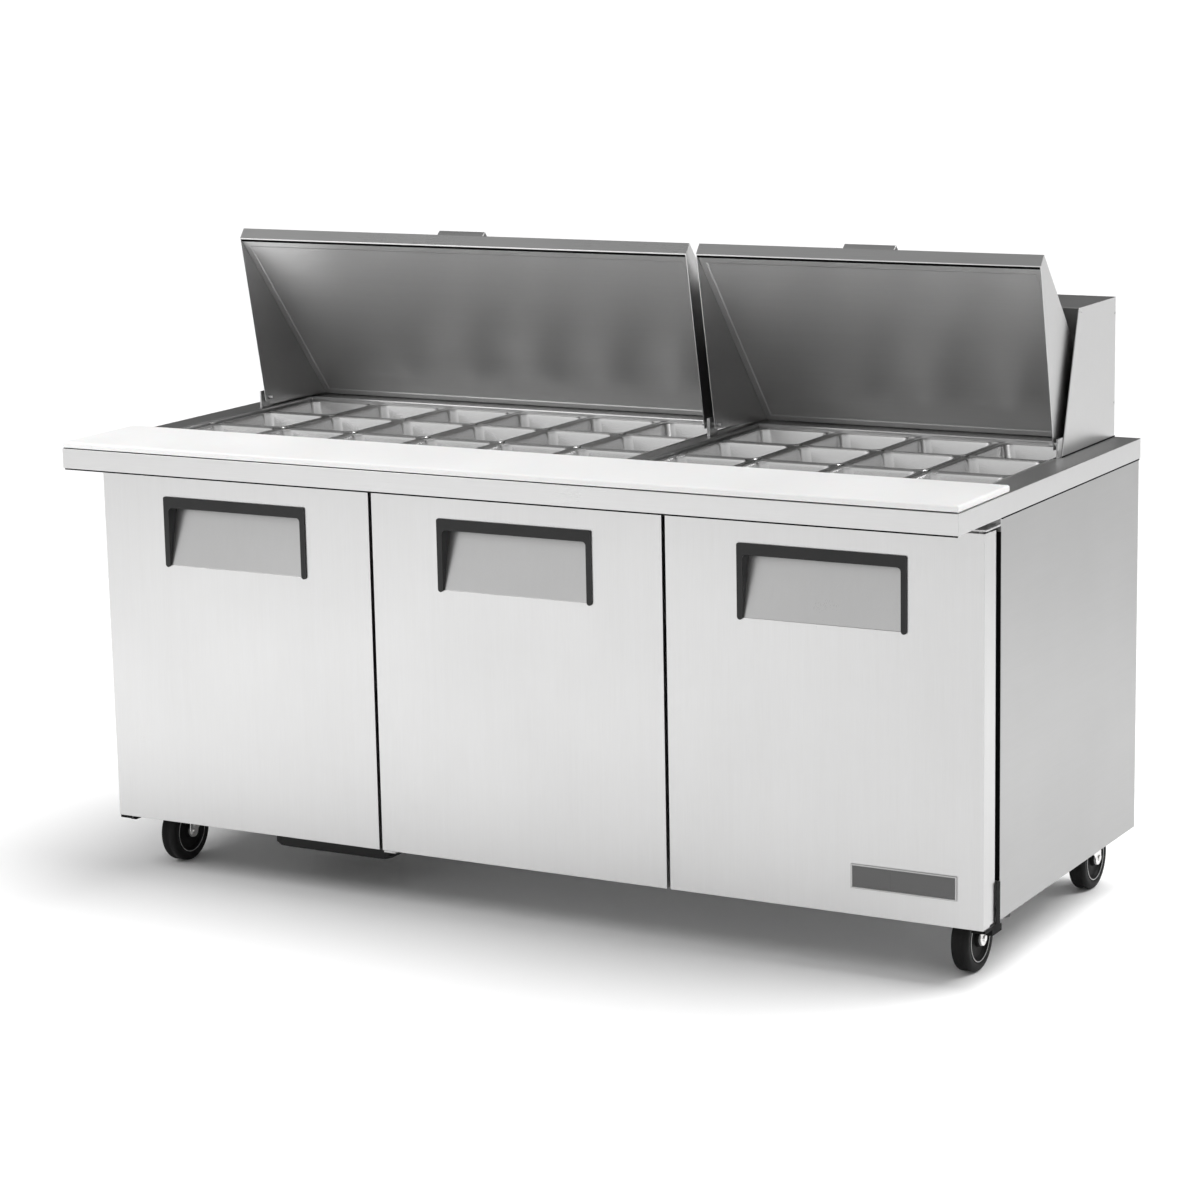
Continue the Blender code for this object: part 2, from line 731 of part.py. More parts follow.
def caster_spots():
    """The four casters: name, kingpin x, kingpin y."""
    return [
        ("caster_front_left", -KINGPIN_X, KINGPIN_FRONT),
        ("caster_front_right", KINGPIN_X, KINGPIN_FRONT),
        ("caster_rear_left", -KINGPIN_X, KINGPIN_REAR),
        ("caster_rear_right", KINGPIN_X, KINGPIN_REAR),
    ]


def make_caster(name, x, y):
    """A fork on a kingpin, trailing its wheel, with a brake pedal on the front pair."""
    swivel = pivot(f"{name}_swivel", (x, y, 0))
    trail = -TRAIL if y < 0 else TRAIL
    crown, ear = 0.026, 0.013
    cheek = [(-crown, FORK_TOP), (-crown, FORK_TOP - 0.012)]
    cheek += arc((trail, WHEEL_RADIUS), ear, 180, 360, 8)
    cheek += [(crown, FORK_TOP - 0.012), (crown, FORK_TOP)]
    outer = FORK_HALF + FORK_SHEET
    fork = prism(f"{name}_fork", [cheek], "X", -outer, outer, "zinc", swivel)
    low = (-FORK_HALF, -REACH, -REACH)
    cut(fork, box(f"{name}_wheel_space", low, (FORK_HALF, REACH, FORK_TOP - 0.004), parent=swivel))
    join(fork, drum(f"{name}_race", (0, 0), 0.027, FORK_TOP - 0.001, RACE_TOP, parent=swivel))
    join(fork, drum(f"{name}_stem", (0, 0), STEM_RADIUS, RACE_TOP - 0.001, STEM_TOP, parent=swivel))
    end, spot = outer + SHEET, (trail, WHEEL_RADIUS)
    join(fork, drum(f"{name}_axle", spot, AXLE_RADIUS, -end, end, "X", parent=swivel))
    hub = pivot(f"{name}_hub", (0, trail, WHEEL_RADIUS), parent=swivel)
    turned(f"{name}_wheel", wheel_profile(), "black_rubber", hub)
    if y < 0:
        make_brake_pedal(name, 1 if x > 0 else -1, swivel)


def wheel_profile():
    """Half of the wheel's section, as (radius, height): a round-shouldered tread, a thin web and a hub."""
    half, shoulder, bore = WHEEL_WIDTH / 2, 0.007, AXLE_RADIUS + 2 * PIN_PLAY
    web, hub, rim, hub_half = 0.010, 0.016, 0.042, 0.0190
    top = [(bore, hub_half), (hub, hub_half), (hub + 0.002, web), (rim, web), (rim + 0.002, half - 0.001)]
    top += arc((WHEEL_RADIUS - shoulder, half - shoulder), shoulder, 90, 0, 2)
    return top + [(radius, -height) for radius, height in reversed(top)]


def make_brake_pedal(name, side, swivel):
    """A lever on the outer cheek, pressed down at its rear tip to lock the wheel."""
    hinge = pivot(f"{name}_brake", (0, *PEDAL_PIVOT), parent=swivel)
    outline = arc((0, 0), PEDAL_BOSS, 90, 270, 8)
    outline += arc((PEDAL_REACH, PEDAL_DROP), PEDAL_TIP, -90, 90, 6)
    x_low, x_high = sorted((side * PEDAL_NEAR, side * PEDAL_FAR))
    prism(f"{name}_brake_pedal", [outline], "X", x_low, x_high, "black_plastic", hinge)


# ---------------------------------------------------------------- cold system


def fan_outline(radius, blades):
    """A closed outline whose radius swells into one lobe for each blade."""
    hub, points = 0.35, blades * 12
    outline = []
    for i in range(points):
        turn = 2 * pi * i / points
        lobe = 0.5 - 0.5 * cos(blades * turn)
        reach = radius * (hub + (1 - hub) * lobe**0.6)
        outline.append((reach * cos(turn + lobe / 3), reach * sin(turn + lobe / 3)))
    return outline


def make_fan(name, centre, radius):
    shaft = pivot(f"{name}_shaft", centre)
    outline = fan_outline(radius, FAN_BLADES)
    prism(name, [outline], "Y", -FAN_HALF_DEPTH, FAN_HALF_DEPTH, "aluminium", shaft)


def make_cold_system():
    """Coils and fans above and below the step, and the compressor beside the condenser."""
    box("evaporator_coil", *EVAPORATOR, "aluminium")
    make_fan("evaporator_fan", *EVAPORATOR_FAN)
    box("condenser_coil", *CONDENSER, "copper")
    make_fan("condenser_fan", *CONDENSER_FAN)
    low, high = FLOOR + GAP, COMPRESSOR_TOP
    radius = COMPRESSOR_RADIUS
    body = drum("compressor", COMPRESSOR, radius, low, high, look="black_paint", segments=32)
    bevel(body, COMPRESSOR_DOME, 3, angle=60)


def make_condensate_tray():
    """An open tray hung under the floor behind the left door."""
    low, high = (Vector(corner) for corner in TRAY)
    tray = box("condensate_tray", low, high, "black_plastic")
    bevel(tray, TRAY_CORNER, 3)
    wall = Vector((TRAY_WALL, TRAY_WALL, TRAY_WALL))
    cut(tray, box("tray_space", low + wall, high + Vector((-TRAY_WALL, -TRAY_WALL, REACH))))


clear_scene()
PARTS = new_collection("sandwich_prep_table")
CUTTERS = new_collection("cutters")
make_side_panels()
make_base_panel()
make_interior_liner()
make_rear()
make_front_frame()
make_shelves()
make_countertop()
make_cutting_board()
make_pan_frames()
make_hood()
for lid in lids():
    make_lid(*lid)
make_lid_pivots()
for door in doors():
    make_door(*door)
make_door_hinges()
for spot in caster_spots():
    make_caster(*spot)
make_cold_system()
make_condensate_tray()
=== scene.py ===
"""The looks of a three-door sandwich prep table: finer pieces, materials, light and camera, in metres.

Every piece takes its place from the CAD nodes' boxes or from the record's joints, and rides on a body.
"""

import json
from math import atan2, cos, pi, radians, sin

import bmesh
import bpy
from mathutils import Matrix, Vector


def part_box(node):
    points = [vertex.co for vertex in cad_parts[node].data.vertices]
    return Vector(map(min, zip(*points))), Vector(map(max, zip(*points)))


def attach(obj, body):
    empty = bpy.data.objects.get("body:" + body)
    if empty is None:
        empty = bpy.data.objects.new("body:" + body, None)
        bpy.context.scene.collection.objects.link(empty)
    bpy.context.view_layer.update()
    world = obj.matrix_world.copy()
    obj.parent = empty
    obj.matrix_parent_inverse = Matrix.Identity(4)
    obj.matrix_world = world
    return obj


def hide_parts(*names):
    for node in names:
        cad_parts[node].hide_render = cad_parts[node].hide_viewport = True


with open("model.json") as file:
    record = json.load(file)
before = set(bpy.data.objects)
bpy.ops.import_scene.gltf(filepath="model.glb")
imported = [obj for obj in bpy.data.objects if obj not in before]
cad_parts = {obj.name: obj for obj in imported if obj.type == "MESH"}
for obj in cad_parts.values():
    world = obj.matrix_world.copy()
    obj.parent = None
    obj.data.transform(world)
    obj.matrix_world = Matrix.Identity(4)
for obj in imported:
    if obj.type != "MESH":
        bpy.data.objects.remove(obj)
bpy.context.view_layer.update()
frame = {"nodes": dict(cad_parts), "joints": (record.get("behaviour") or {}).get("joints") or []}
JOINTS = {joint["name"]: joint for joint in frame["joints"]}
DOORS = ("left", "middle", "right")
LIDS = ("left", "right")
CORNERS = ("front_left", "front_right", "rear_left", "rear_right")

# The doors, as depths behind the face and insets from the CAD box
SKIN_DEPTH = 0.0290
PAN_INSET = 0.0018
DOOR_EDGE = 0.0016
RECESS_MARGIN = 0.004
RECESS_DEPTH = 0.031
RECESS_FOOT = 0.001
HANDLE_BAR = 0.021
HANDLE_LEG = 0.011
HANDLE_CORNER = 0.004

# The lids, drawn closed as (y, z) from the pivot
LID_RIM = (-0.339, -0.017)
LID_LIP = (-0.355, 0.001)
LID_BACK_HIGH = (0.057, 0.238)
LID_BACK_LOW = (0.058, 0.203)
LID_HEEL = (0.006, -0.012)
LID_INNER = (-0.333, -0.010)
LID_SLOPE = 0.5542
LID_LINER = 0.003

# Sheet steel, the play between parts, how far the black lines of painted shade along the edges stop short,
# and the fans' blades
SHEET = 0.002
GAP = 0.0003
SHADE_LINE_END = 0.003
BLADES = 5

# The studio's glow by height, from 0 at the horizon to 1 overhead: a bright wall in front, a dim one behind,
# blended over a span of Y in the sky's own directions. A softbox is its place, its side and its watts.
FRONT_WALL = ((0.0, 1.0), (0.35, 0.65), (0.60, 0.22), (0.77, 0.48), (1.0, 0.24))
BACK_WALL = ((0.0, 0.10), (0.3, 0.12), (0.8, 0.18), (1.0, 0.24))
WALL_BLEND = (-0.4, 0.6)
SOFTBOXES = (((-2.0, -2.2, 2.5), 2.0, 55), ((2.4, 1.3, 1.6), 0.9, 20))
SUN_FROM = (0.36, 0.20, 0.91)
SUN_STRENGTH = 3.1
SUN_WIDTH = 45
FLOOR_GRAY = 0.92
FLOOR_REACH = 90

# The camera, with its turns in radians and its lens and sensor in millimetres
CAMERA_AT = (3.045, -5.481, 1.840)
CAMERA_YAW = 0.5068
CAMERA_TILT = 0.2015
CAMERA_ROLL = -0.0198
LENS = 101.157
SENSOR = 36


# ---------------------------------------------------------------- meshes


def new_object(name, shape):
    """Links a bmesh as an object, with its faces turned outwards."""
    bmesh.ops.recalc_face_normals(shape, faces=shape.faces)
    mesh = bpy.data.meshes.new(name)
    shape.to_mesh(mesh)
    shape.free()
    made = bpy.data.objects.new(name, mesh)
    bpy.context.scene.collection.objects.link(made)
    return made


def spot(axis, across, along):
    """A point from its place across an axis and along it."""
    a, b = across
    return {"X": (along, a, b), "Y": (a, along, b), "Z": (a, b, along)}[axis]


def loft(name, loops, ring=False):
    """A skin over loops of equal length: closed by its end loops, or joined to itself as a ring."""
    shape = bmesh.new()
    rows = [[shape.verts.new(point) for point in loop] for loop in loops]
    pairs = list(zip(rows, rows[1:]))
    if ring:
        pairs.append((rows[-1], rows[0]))
    else:
        shape.faces.new(rows[0])
        shape.faces.new(rows[-1])
    for first, second in pairs:
        for i in range(len(first)):
            j = (i + 1) % len(first)
            shape.faces.new((first[i], first[j], second[j], second[i]))
    return new_object(name, shape)


def prism(name, outline, axis, low, high):
    return loft(name, [[spot(axis, point, along) for point in outline] for along in (low, high)])


def rectangle(low_a, low_b, high_a, high_b):
    return [(low_a, low_b), (high_a, low_b), (high_a, high_b), (low_a, high_b)]


def block(name, low, high):
    return prism(name, rectangle(low[0], low[1], high[0], high[1]), "Z", low[2], high[2])


def arc(centre, radius, start, end, steps):
    """Points along an arc, with the angles in degrees."""
    turns = [radians(start + (end - start) * i / steps) for i in range(steps + 1)]
    return [(centre[0] + radius * cos(a), centre[1] + radius * sin(a)) for a in turns]


def round_rectangle(low, high, inset, radius, steps=6):
    """A rectangle with round corners, drawn in by an inset."""
    a, b = low[0] + inset + radius, low[1] + inset + radius
    c, d = high[0] - inset - radius, high[1] - inset - radius
    points = arc((c, d), radius, 0, 90, steps) + arc((a, d), radius, 90, 180, steps)
    return points + arc((a, b), radius, 180, 270, steps) + arc((c, b), radius, 270, 360, steps)


def lathe(name, profile, axis, centre, ring=False, steps=48):
    """A profile of (radius, distance along the axis) points, turned about the axis."""
    loops = []
    for radius, along in profile:
        circle = arc((0, 0), radius, 0, 360 * (steps - 1) / steps, steps - 1)
        loops.append([Vector(spot(axis, point, along)) + Vector(centre) for point in circle])
    return loft(name, loops, ring)


def rod(start, end, radius, sides=10):
    """A round bar between two points."""
    start, end = Vector(start), Vector(end)
    turn = (end - start).to_track_quat("Z", "Y")
    circle = arc((0, 0), radius, 0, 360 * (sides - 1) / sides, sides - 1)
    loops = [[turn @ Vector((*point, 0)) + place for point in circle] for place in (start, end)]
    return loft("rod", loops)


def pipe(name, points, radius, closed=False):
    """A bent tube along rounded points."""
    curve = bpy.data.curves.new(name, "CURVE")
    curve.dimensions = "3D"
    curve.bevel_depth = radius
    curve.bevel_resolution = 3
    curve.use_fill_caps = True
    spline = curve.splines.new("POLY")
    spline.points.add(len(points) - 1)
    for knot, point in zip(spline.points, points):
        knot.co = (*point, 1)
    spline.use_cyclic_u = closed
    guide = bpy.data.objects.new(name, curve)
    bpy.context.scene.collection.objects.link(guide)
    bpy.context.view_layer.update()
    mesh = bpy.data.meshes.new_from_object(guide.evaluated_get(bpy.context.evaluated_depsgraph_get()))
    bpy.data.objects.remove(guide)
    made = bpy.data.objects.new(name, mesh)
    bpy.context.scene.collection.objects.link(made)
    return made


def bake(obj):
    """Makes the modifiers' result the object's own mesh."""
    bpy.context.view_layer.update()
    graph = bpy.context.evaluated_depsgraph_get()
    mesh = bpy.data.meshes.new_from_object(obj.evaluated_get(graph))
    obj.modifiers.clear()
    obj.data = mesh


def combine(obj, other, operation):
    made = obj.modifiers.new("combine", "BOOLEAN")
    made.operation = operation
    made.object = other
    bake(obj)
    bpy.data.objects.remove(other)


def cut(obj, *cutters):
    for cutter in cutters:
        combine(obj, cutter, "DIFFERENCE")


def join(obj, *others):
    for other in others:
        combine(obj, other, "UNION")


def merge(name, pieces):
    """One object that holds all the pieces' meshes."""
    shape = bmesh.new()
    for piece in pieces:
        if piece.modifiers:
            bake(piece)
        mesh = piece.data.copy()
        mesh.transform(piece.matrix_world)
        shape.from_mesh(mesh)
        bpy.data.meshes.remove(mesh)
        bpy.data.objects.remove(piece)
    return new_object(name, shape)


def rounded(obj, width, segments=3, angle=30):
    """Rounds the sharp edges and keeps the flat faces flat."""
    obj.data.shade_smooth()
    made = obj.modifiers.new("rounded", "BEVEL")
    made.width = width
    made.segments = segments
    made.limit_method = "ANGLE"
    made.angle_limit = radians(angle)
    made.harden_normals = True
    return obj


def put(obj, body, look, *nodes):
    """Finishes a piece: its material, the body that it rides on and the CAD nodes that it stands for."""
    obj.data.materials.clear()
    obj.data.materials.append(MATERIALS[look])
    if not obj.modifiers:
        obj.data.shade_smooth()
        obj.data.set_sharp_from_angle(angle=radians(35))
    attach(obj, body)
    if nodes:
        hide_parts(*nodes)
    return obj


# ---------------------------------------------------------------- materials


class Look:
    """One material, built from small node steps that each return an output socket."""

    def __init__(self, name, metallic=0.0, **sockets):
        self.made = bpy.data.materials.new(name)
        self.made.use_nodes = True
        self.nodes = self.made.node_tree.nodes
        self.shader = self.nodes["Principled BSDF"]
        self.shader.inputs["Metallic"].default_value = metallic
        for socket, value in sockets.items():
            self.shader.inputs[socket.replace("_", " ")].default_value = value
        self.place = self.nodes.new("ShaderNodeTexCoord").outputs["Object"]

    def link(self, value, socket):
        self.made.node_tree.links.new(value, socket)

    def stretched(self, scale):
        step = self.nodes.new("ShaderNodeMapping")
        step.inputs["Scale"].default_value = scale
        self.link(self.place, step.inputs["Vector"])
        return step.outputs["Vector"]

    def noise(self, scale, detail=3.0):
        """Noise whose grains are 1/scale metres along each axis."""
        step = self.nodes.new("ShaderNodeTexNoise")
        step.inputs["Scale"].default_value = 1.0
        step.inputs["Detail"].default_value = detail
        self.link(self.stretched(scale), step.inputs["Vector"])
        return step.outputs["Fac"]

    def cells(self, scale):
        step = self.nodes.new("ShaderNodeTexVoronoi")
        step.inputs["Scale"].default_value = scale
        self.link(self.place, step.inputs["Vector"])
        split = self.nodes.new("ShaderNodeSeparateColor")
        self.link(step.outputs["Color"], split.inputs["Color"])
        return split.outputs["Red"]

    def spread(self, value, low, high, start=0.3, end=0.7):
        """Maps start..end to low..high, without going past them."""
        step = self.nodes.new("ShaderNodeMapRange")
        for socket, number in (("From Min", start), ("From Max", end), ("To Min", low), ("To Max", high)):
            step.inputs[socket].default_value = number
        self.link(value, step.inputs["Value"])
        return step.outputs["Result"]

    def add(self, first, second, share):
        """first plus a share of second."""
        step = self.nodes.new("ShaderNodeMath")
        step.operation = "MULTIPLY_ADD"
        self.link(second, step.inputs[0])
        step.inputs[1].default_value = share
        self.link(first, step.inputs[2])
        return step.outputs[0]

    def mixed(self, value, first, second):
        """A colour between two, by a value from 0 to 1. first may be another step's output."""
        step = self.nodes.new("ShaderNodeMix")
        step.data_type = "RGBA"
        self.link(value, step.inputs["Factor"])
        for socket, color in ((step.inputs[6], first), (step.inputs[7], second)):
            if isinstance(color, tuple):
                socket.default_value = (*color, 1)
            else:
                self.link(color, socket)
        return step.outputs[2]

    def edges(self, radius):
        """0 on flat faces, rising to 1 on outer edges."""
        reach = 0.25
        step = self.nodes.new("ShaderNodeBevel")
        step.samples = 4
        step.inputs["Radius"].default_value = radius
        own = self.nodes.new("ShaderNodeNewGeometry").outputs["Normal"]
        dot = self.nodes.new("ShaderNodeVectorMath")
        dot.operation = "DOT_PRODUCT"
        self.link(step.outputs["Normal"], dot.inputs[0])
        self.link(own, dot.inputs[1])
        return self.spread(dot.outputs["Value"], 1.0, 0.0, 1.0 - reach, 1.0)

    def finish(self, color, roughness, height, depth, strength):
        """Plugs in the colour and the roughness, and a bump of this depth in metres."""
        bump = self.nodes.new("ShaderNodeBump")
        bump.inputs["Strength"].default_value = strength
        bump.inputs["Distance"].default_value = depth
        self.link(height, bump.inputs["Height"])
        self.link(color, self.shader.inputs["Base Color"])
        self.link(roughness, self.shader.inputs["Roughness"])
        self.link(bump.outputs["Normal"], self.shader.inputs["Normal"])
        return self.made


def gray(level, warm=0.0):
    return (level * (1 + warm), level, level * (1 - warm))


def sheet_metal(name, level, roughness, along, strength=0.25, metallic=1.0):
    """Brushed stainless steel with its grain along one axis, cloudy handling marks and fine scratches."""
    look = Look(name, metallic=metallic)
    fine = look.noise([14 if axis == along else 1300 for axis in "XYZ"], 2)
    broad = look.noise([1.5 if axis == along else 90 for axis in "XYZ"], 3)
    cloud = look.noise((4, 4, 4), 4)
    grain = look.add(fine, broad, 0.35)
    color = look.mixed(look.spread(grain, 0, 1, 0.45, 0.90), gray(level * 0.975, 0.004), gray(level * 1.02))
    rough = look.add(look.spread(cloud, roughness - 0.02, roughness + 0.03), fine, 0.04)
    return look.finish(color, rough, grain, 0.0001, strength)


def galvanised(name):
    """Zinc-coated sheet with its spangle."""
    look = Look(name, metallic=0.9)
    spangle = look.cells(70)
    cloud = look.noise((25, 25, 25))
    color = look.mixed(look.spread(look.add(spangle, cloud, 0.4), 0, 1, 0.2, 1.2), gray(0.44), gray(0.62))
    return look.finish(color, look.spread(spangle, 0.36, 0.52, 0, 1), cloud, 0.0004, 0.2)


def plated(name, first, second, roughness):
    """Bright plating or bare metal, clouded and a little worn."""
    look = Look(name, metallic=1.0)
    cloud = look.noise((60, 60, 60), 5)
    fine = look.noise((900, 900, 900), 2)
    color = look.mixed(look.spread(cloud, 0, 1), first, second)
    rough = look.add(look.spread(cloud, roughness - 0.05, roughness + 0.10), fine, 0.05)
    return look.finish(color, rough, fine, 0.0002, 0.2)


def moulded(name, color, worn, roughness, grain, depth, gloss=0.5):
    """Plastic, rubber or paint: a fine texture, uneven gloss, and lighter edges."""
    look = Look(name, Specular_IOR_Level=gloss)
    fine = look.noise((grain, grain, grain), 2)
    cloud = look.noise((18, 18, 18), 4)
    base = look.mixed(look.spread(cloud, 0, 1), color, tuple(1.12 * c for c in color))
    rough = look.add(look.spread(cloud, roughness - 0.06, roughness + 0.06), fine, 0.05)
    return look.finish(look.mixed(look.edges(0.0012), base, worn), rough, fine, depth, 0.35)


def cutting_board(name):
    """White polyethylene with a faint cloud of knife marks."""
    look = Look(name, Subsurface_Weight=0.05, Subsurface_Scale=0.004)
    marks = look.noise((30, 700, 300), 3)
    others = look.noise((500, 40, 300), 3)
    cloud = look.noise((5, 5, 5), 3)
    scratches = look.add(marks, others, 1.0)
    color = look.mixed(look.spread(scratches, 0, 1, 1.15, 1.4), gray(0.72, 0.003), gray(0.64, 0.006))
    color = look.mixed(look.edges(0.004), color, gray(0.80))
    rough = look.add(look.spread(cloud, 0.36, 0.5), marks, 0.08)
    return look.finish(color, rough, scratches, 0.0003, 0.25)


MATERIALS = {
    "steel_x": sheet_metal("steel_grain_along_x", 0.56, 0.27, "X"),
    # The same brushed steel painted darker than on the front: painted shade for the side panels and the
    # counter divider.
    "shaded_steel_y": sheet_metal("steel_grain_along_y_painted_darker", 0.385, 0.32, "Y"),
    "steel_z": sheet_metal("steel_grain_upright", 0.53, 0.28, "Z"),
    "pan_steel": sheet_metal("drawn_pan_steel", 0.66, 0.22, "Z", 0.15),
    "dark_steel": sheet_metal("lid_lining_steel", 0.60, 0.38, "X", 0.08, 0.8),
    "galvanised": galvanised("spangled_zinc_sheet"),
    "zinc": plated("bright_zinc_plate", gray(0.70, 0.02), gray(0.84), 0.20),
    "aluminium": plated("fin_aluminium", gray(0.66), gray(0.78), 0.35),
    "copper": plated("copper_tube", (0.72, 0.40, 0.27), (0.50, 0.27, 0.18), 0.30),
    "black_plastic": moulded("black_handle_plastic", gray(0.006), gray(0.022), 0.40, 1500, 0.0002, 0.35),
    "black_rubber": moulded("black_rubber", gray(0.006), gray(0.016), 0.55, 700, 0.0003, 0.15),
    # Near-black with almost no gloss: the real door, lid and hood seals, and also the pieces of painted
    # shade in the door gaps and under the counter's edges.
    "black_seal_and_shade": moulded("black_seal_and_shade", gray(0.004), gray(0.008), 0.60, 900, 0.0002, 0.03),
    # Used only for the corner shoes, which are painted shade.
    "matt_black": moulded("matt_black_painted_shade", gray(0.005), gray(0.014), 0.60, 400, 0.0002, 0.08),
    "black_paint": moulded("black_enamel", gray(0.012), gray(0.08), 0.32, 260, 0.0003),
    "white_board": cutting_board("white_cutting_board"),
    "white_liner": moulded("white_liner_sheet", gray(0.78), gray(0.84), 0.32, 220, 0.0002),
    "coated_wire": moulded("white_coated_wire", gray(0.74), gray(0.82), 0.35, 500, 0.0001),
    "silver_plate": sheet_metal("name_plate_silver", 0.42, 0.30, "X", 0.15),
    "plate_face": sheet_metal("name_plate_face", 0.11, 0.34, "X", 0.15),
}


def paint_nodes(look, *names):
    """Gives CAD nodes that stay as they are a finished material."""
    for name in names:
        node = frame["nodes"][name]
        for place in node.material_slots:
            place.material = MATERIALS[look]


# ---------------------------------------------------------------- doors


def recess_outline(grip, face, inset, shallower, front):
    """Side outline (y, z) of the hand recess: deepest at the top, running out at the foot."""
    low, high = grip
    top, foot = high.z - inset, low.z + inset
    depth, lip = face + RECESS_DEPTH - shallower, face + RECESS_FOOT - shallower
    return [(front, foot), (lip, foot), (depth, top), (front, top)]


def make_door(side):
    """The folded skin over an inner pan, with the hand recess pressed into it."""
    low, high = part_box(f"door_{side}")
    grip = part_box(f"door_{side}_handle")
    body = f"{side}_door"
    seam = low.y + SKIN_DEPTH
    shell = block(f"door_{side}_skin", low, (high.x, seam, high.z))
    inset = Vector((PAN_INSET, 0, PAN_INSET))
    pan_low = Vector((low.x, seam - 0.004, low.z)) + inset
    join(shell, block("pan", pan_low, high - inset))
    outline = recess_outline(grip, low.y, RECESS_MARGIN, 0, low.y - 0.02)
    span = (grip[0].x + RECESS_MARGIN, grip[1].x - RECESS_MARGIN)
    cut(shell, prism("recess", outline, "X", *span))
    hinge = Vector(JOINTS[f"{side}_door_hinge"]["pos_m"])
    for z in (low.z, high.z):
        cut(shell, rod((hinge.x, hinge.y, z - 0.011), (hinge.x, hinge.y, z + 0.011), 0.0044, 20))
    rounded(shell, DOOR_EDGE, 3)
    put(shell, body, "steel_z", f"door_{side}")
    make_handle(side, grip, low.y, body)
    make_gasket(side, body)
    make_door_liner(side, body)


def handle_outline(low, high):
    """The U of the handle's face, as (x, z): round outer corners, fillets inside and round leg ends."""
    leg, corner, fillet, tip = HANDLE_LEG, HANDLE_CORNER, 0.007, HANDLE_LEG / 2
    bar = high.z - HANDLE_BAR
    points = arc((high.x - tip, low.z + tip), tip, -180, 0, 12)
    points += arc((high.x - corner, high.z - corner), corner, 0, 90, 8)
    points += arc((low.x + corner, high.z - corner), corner, 90, 180, 8)
    points += arc((low.x + tip, low.z + tip), tip, -180, 0, 12)
    points += arc((low.x + leg + fillet, bar - fillet), fillet, 180, 90, 8)
    points += arc((high.x - leg - fillet, bar - fillet), fillet, 90, 0, 8)
    return points


def make_handle(side, grip, face, body):
    """The black frame on the door's face, and the walls that line the recess's sides and ceiling."""
    low, high = grip
    handle = prism(f"door_{side}_grip", handle_outline(low, high), "Y", low.y, face - GAP)
    margin = RECESS_MARGIN + GAP
    outline = recess_outline(grip, face, margin, 0.0008, (low.y + face) / 2)
    walls = prism("walls", outline, "X", low.x + margin, high.x - margin)
    hollow_low = (low.x + HANDLE_LEG, face - 0.1, low.z - 0.02)
    cut(walls, block("hollow", hollow_low, (high.x - HANDLE_LEG, face + 0.1, high.z - HANDLE_BAR)))
    join(handle, walls)
    rounded(handle, 0.0009, 3)
    put(handle, body, "black_plastic", f"door_{side}_handle")


def frame_loops(low, high, section):
    """Loops of a frame's corners for a section of (inset, y) points round a rectangle in X and Z."""
    loops = []
    for inset, y in section:
        corners = rectangle(low.x + inset, low.z + inset, high.x - inset, high.z - inset)
        loops.append([(x, y, z) for x, z in corners])
    return loops


def make_gasket(side, body):
    """A bellows seal round the door's back: a foot, a waist and a flat magnet pocket."""
    low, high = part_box(f"door_{side}_gasket")
    width, deep = 0.016, high.y - low.y
    section = [
        (0.0, low.y),
        (0.0, low.y + 0.22 * deep),
        (0.0035, low.y + 0.36 * deep),
        (0.0012, low.y + 0.50 * deep),
        (0.0005, low.y + 0.72 * deep),
        (0.0015, high.y),
        (width - 0.0015, high.y),
        (width - 0.0005, low.y + 0.72 * deep),
        (width - 0.0012, low.y + 0.50 * deep),
        (width - 0.0035, low.y + 0.36 * deep),
        (width, low.y + 0.22 * deep),
        (width, low.y),
    ]
    seal = loft(f"door_{side}_seal", frame_loops(low, high, section), ring=True)
    put(seal, body, "black_seal_and_shade", f"door_{side}_gasket")


def make_door_liner(side, body):
    """A formed inner panel, stepped inside the gasket, with its middle pressed back again."""
    low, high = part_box(f"door_{side}_liner")
    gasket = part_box(f"door_{side}_gasket")
    rise = gasket[1].y - 0.003
    step = gasket[0].x - low.x + 0.016
    section = [
        (0, low.y),
        (0, high.y),
        (step + 0.004, high.y),
        (step + 0.010, rise),
        (step + 0.028, rise),
        (step + 0.040, high.y),
    ]
    panel = loft(f"door_{side}_inner_panel", frame_loops(low, high, section))
    rounded(panel, 0.0015, 3, 20)
    put(panel, body, "white_liner", f"door_{side}_liner")


def make_name_plate():
    """A blank badge: a silver rim round a darker brushed face."""
    low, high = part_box("name_plate")
    section = [(0, high.y), (0, low.y + 0.0006), (0.0008, low.y), (0.0024, low.y), (0.0032, low.y + 0.0009)]
    section += [(0.0032, high.y)]
    rim = loft("name_plate_rim", frame_loops(low, high, section), ring=True)
    put(rim, "right_door", "silver_plate", "name_plate")
    inset = 0.0034
    face_low = (low.x + inset, low.y + 0.0010, low.z + inset)
    face = block("name_plate_face", face_low, (high.x - inset, high.y, high.z - inset))
    divider = low.x + 0.38 * (high.x - low.x)
    groove = (divider, low.y, low.z + inset + 0.003)
    cut(face, block("groove", groove, (divider + 0.0012, low.y + 0.0014, high.z - inset - 0.003)))
    rounded(face, 0.0003, 2)
    put(face, "right_door", "plate_face")


# ---------------------------------------------------------------- counter


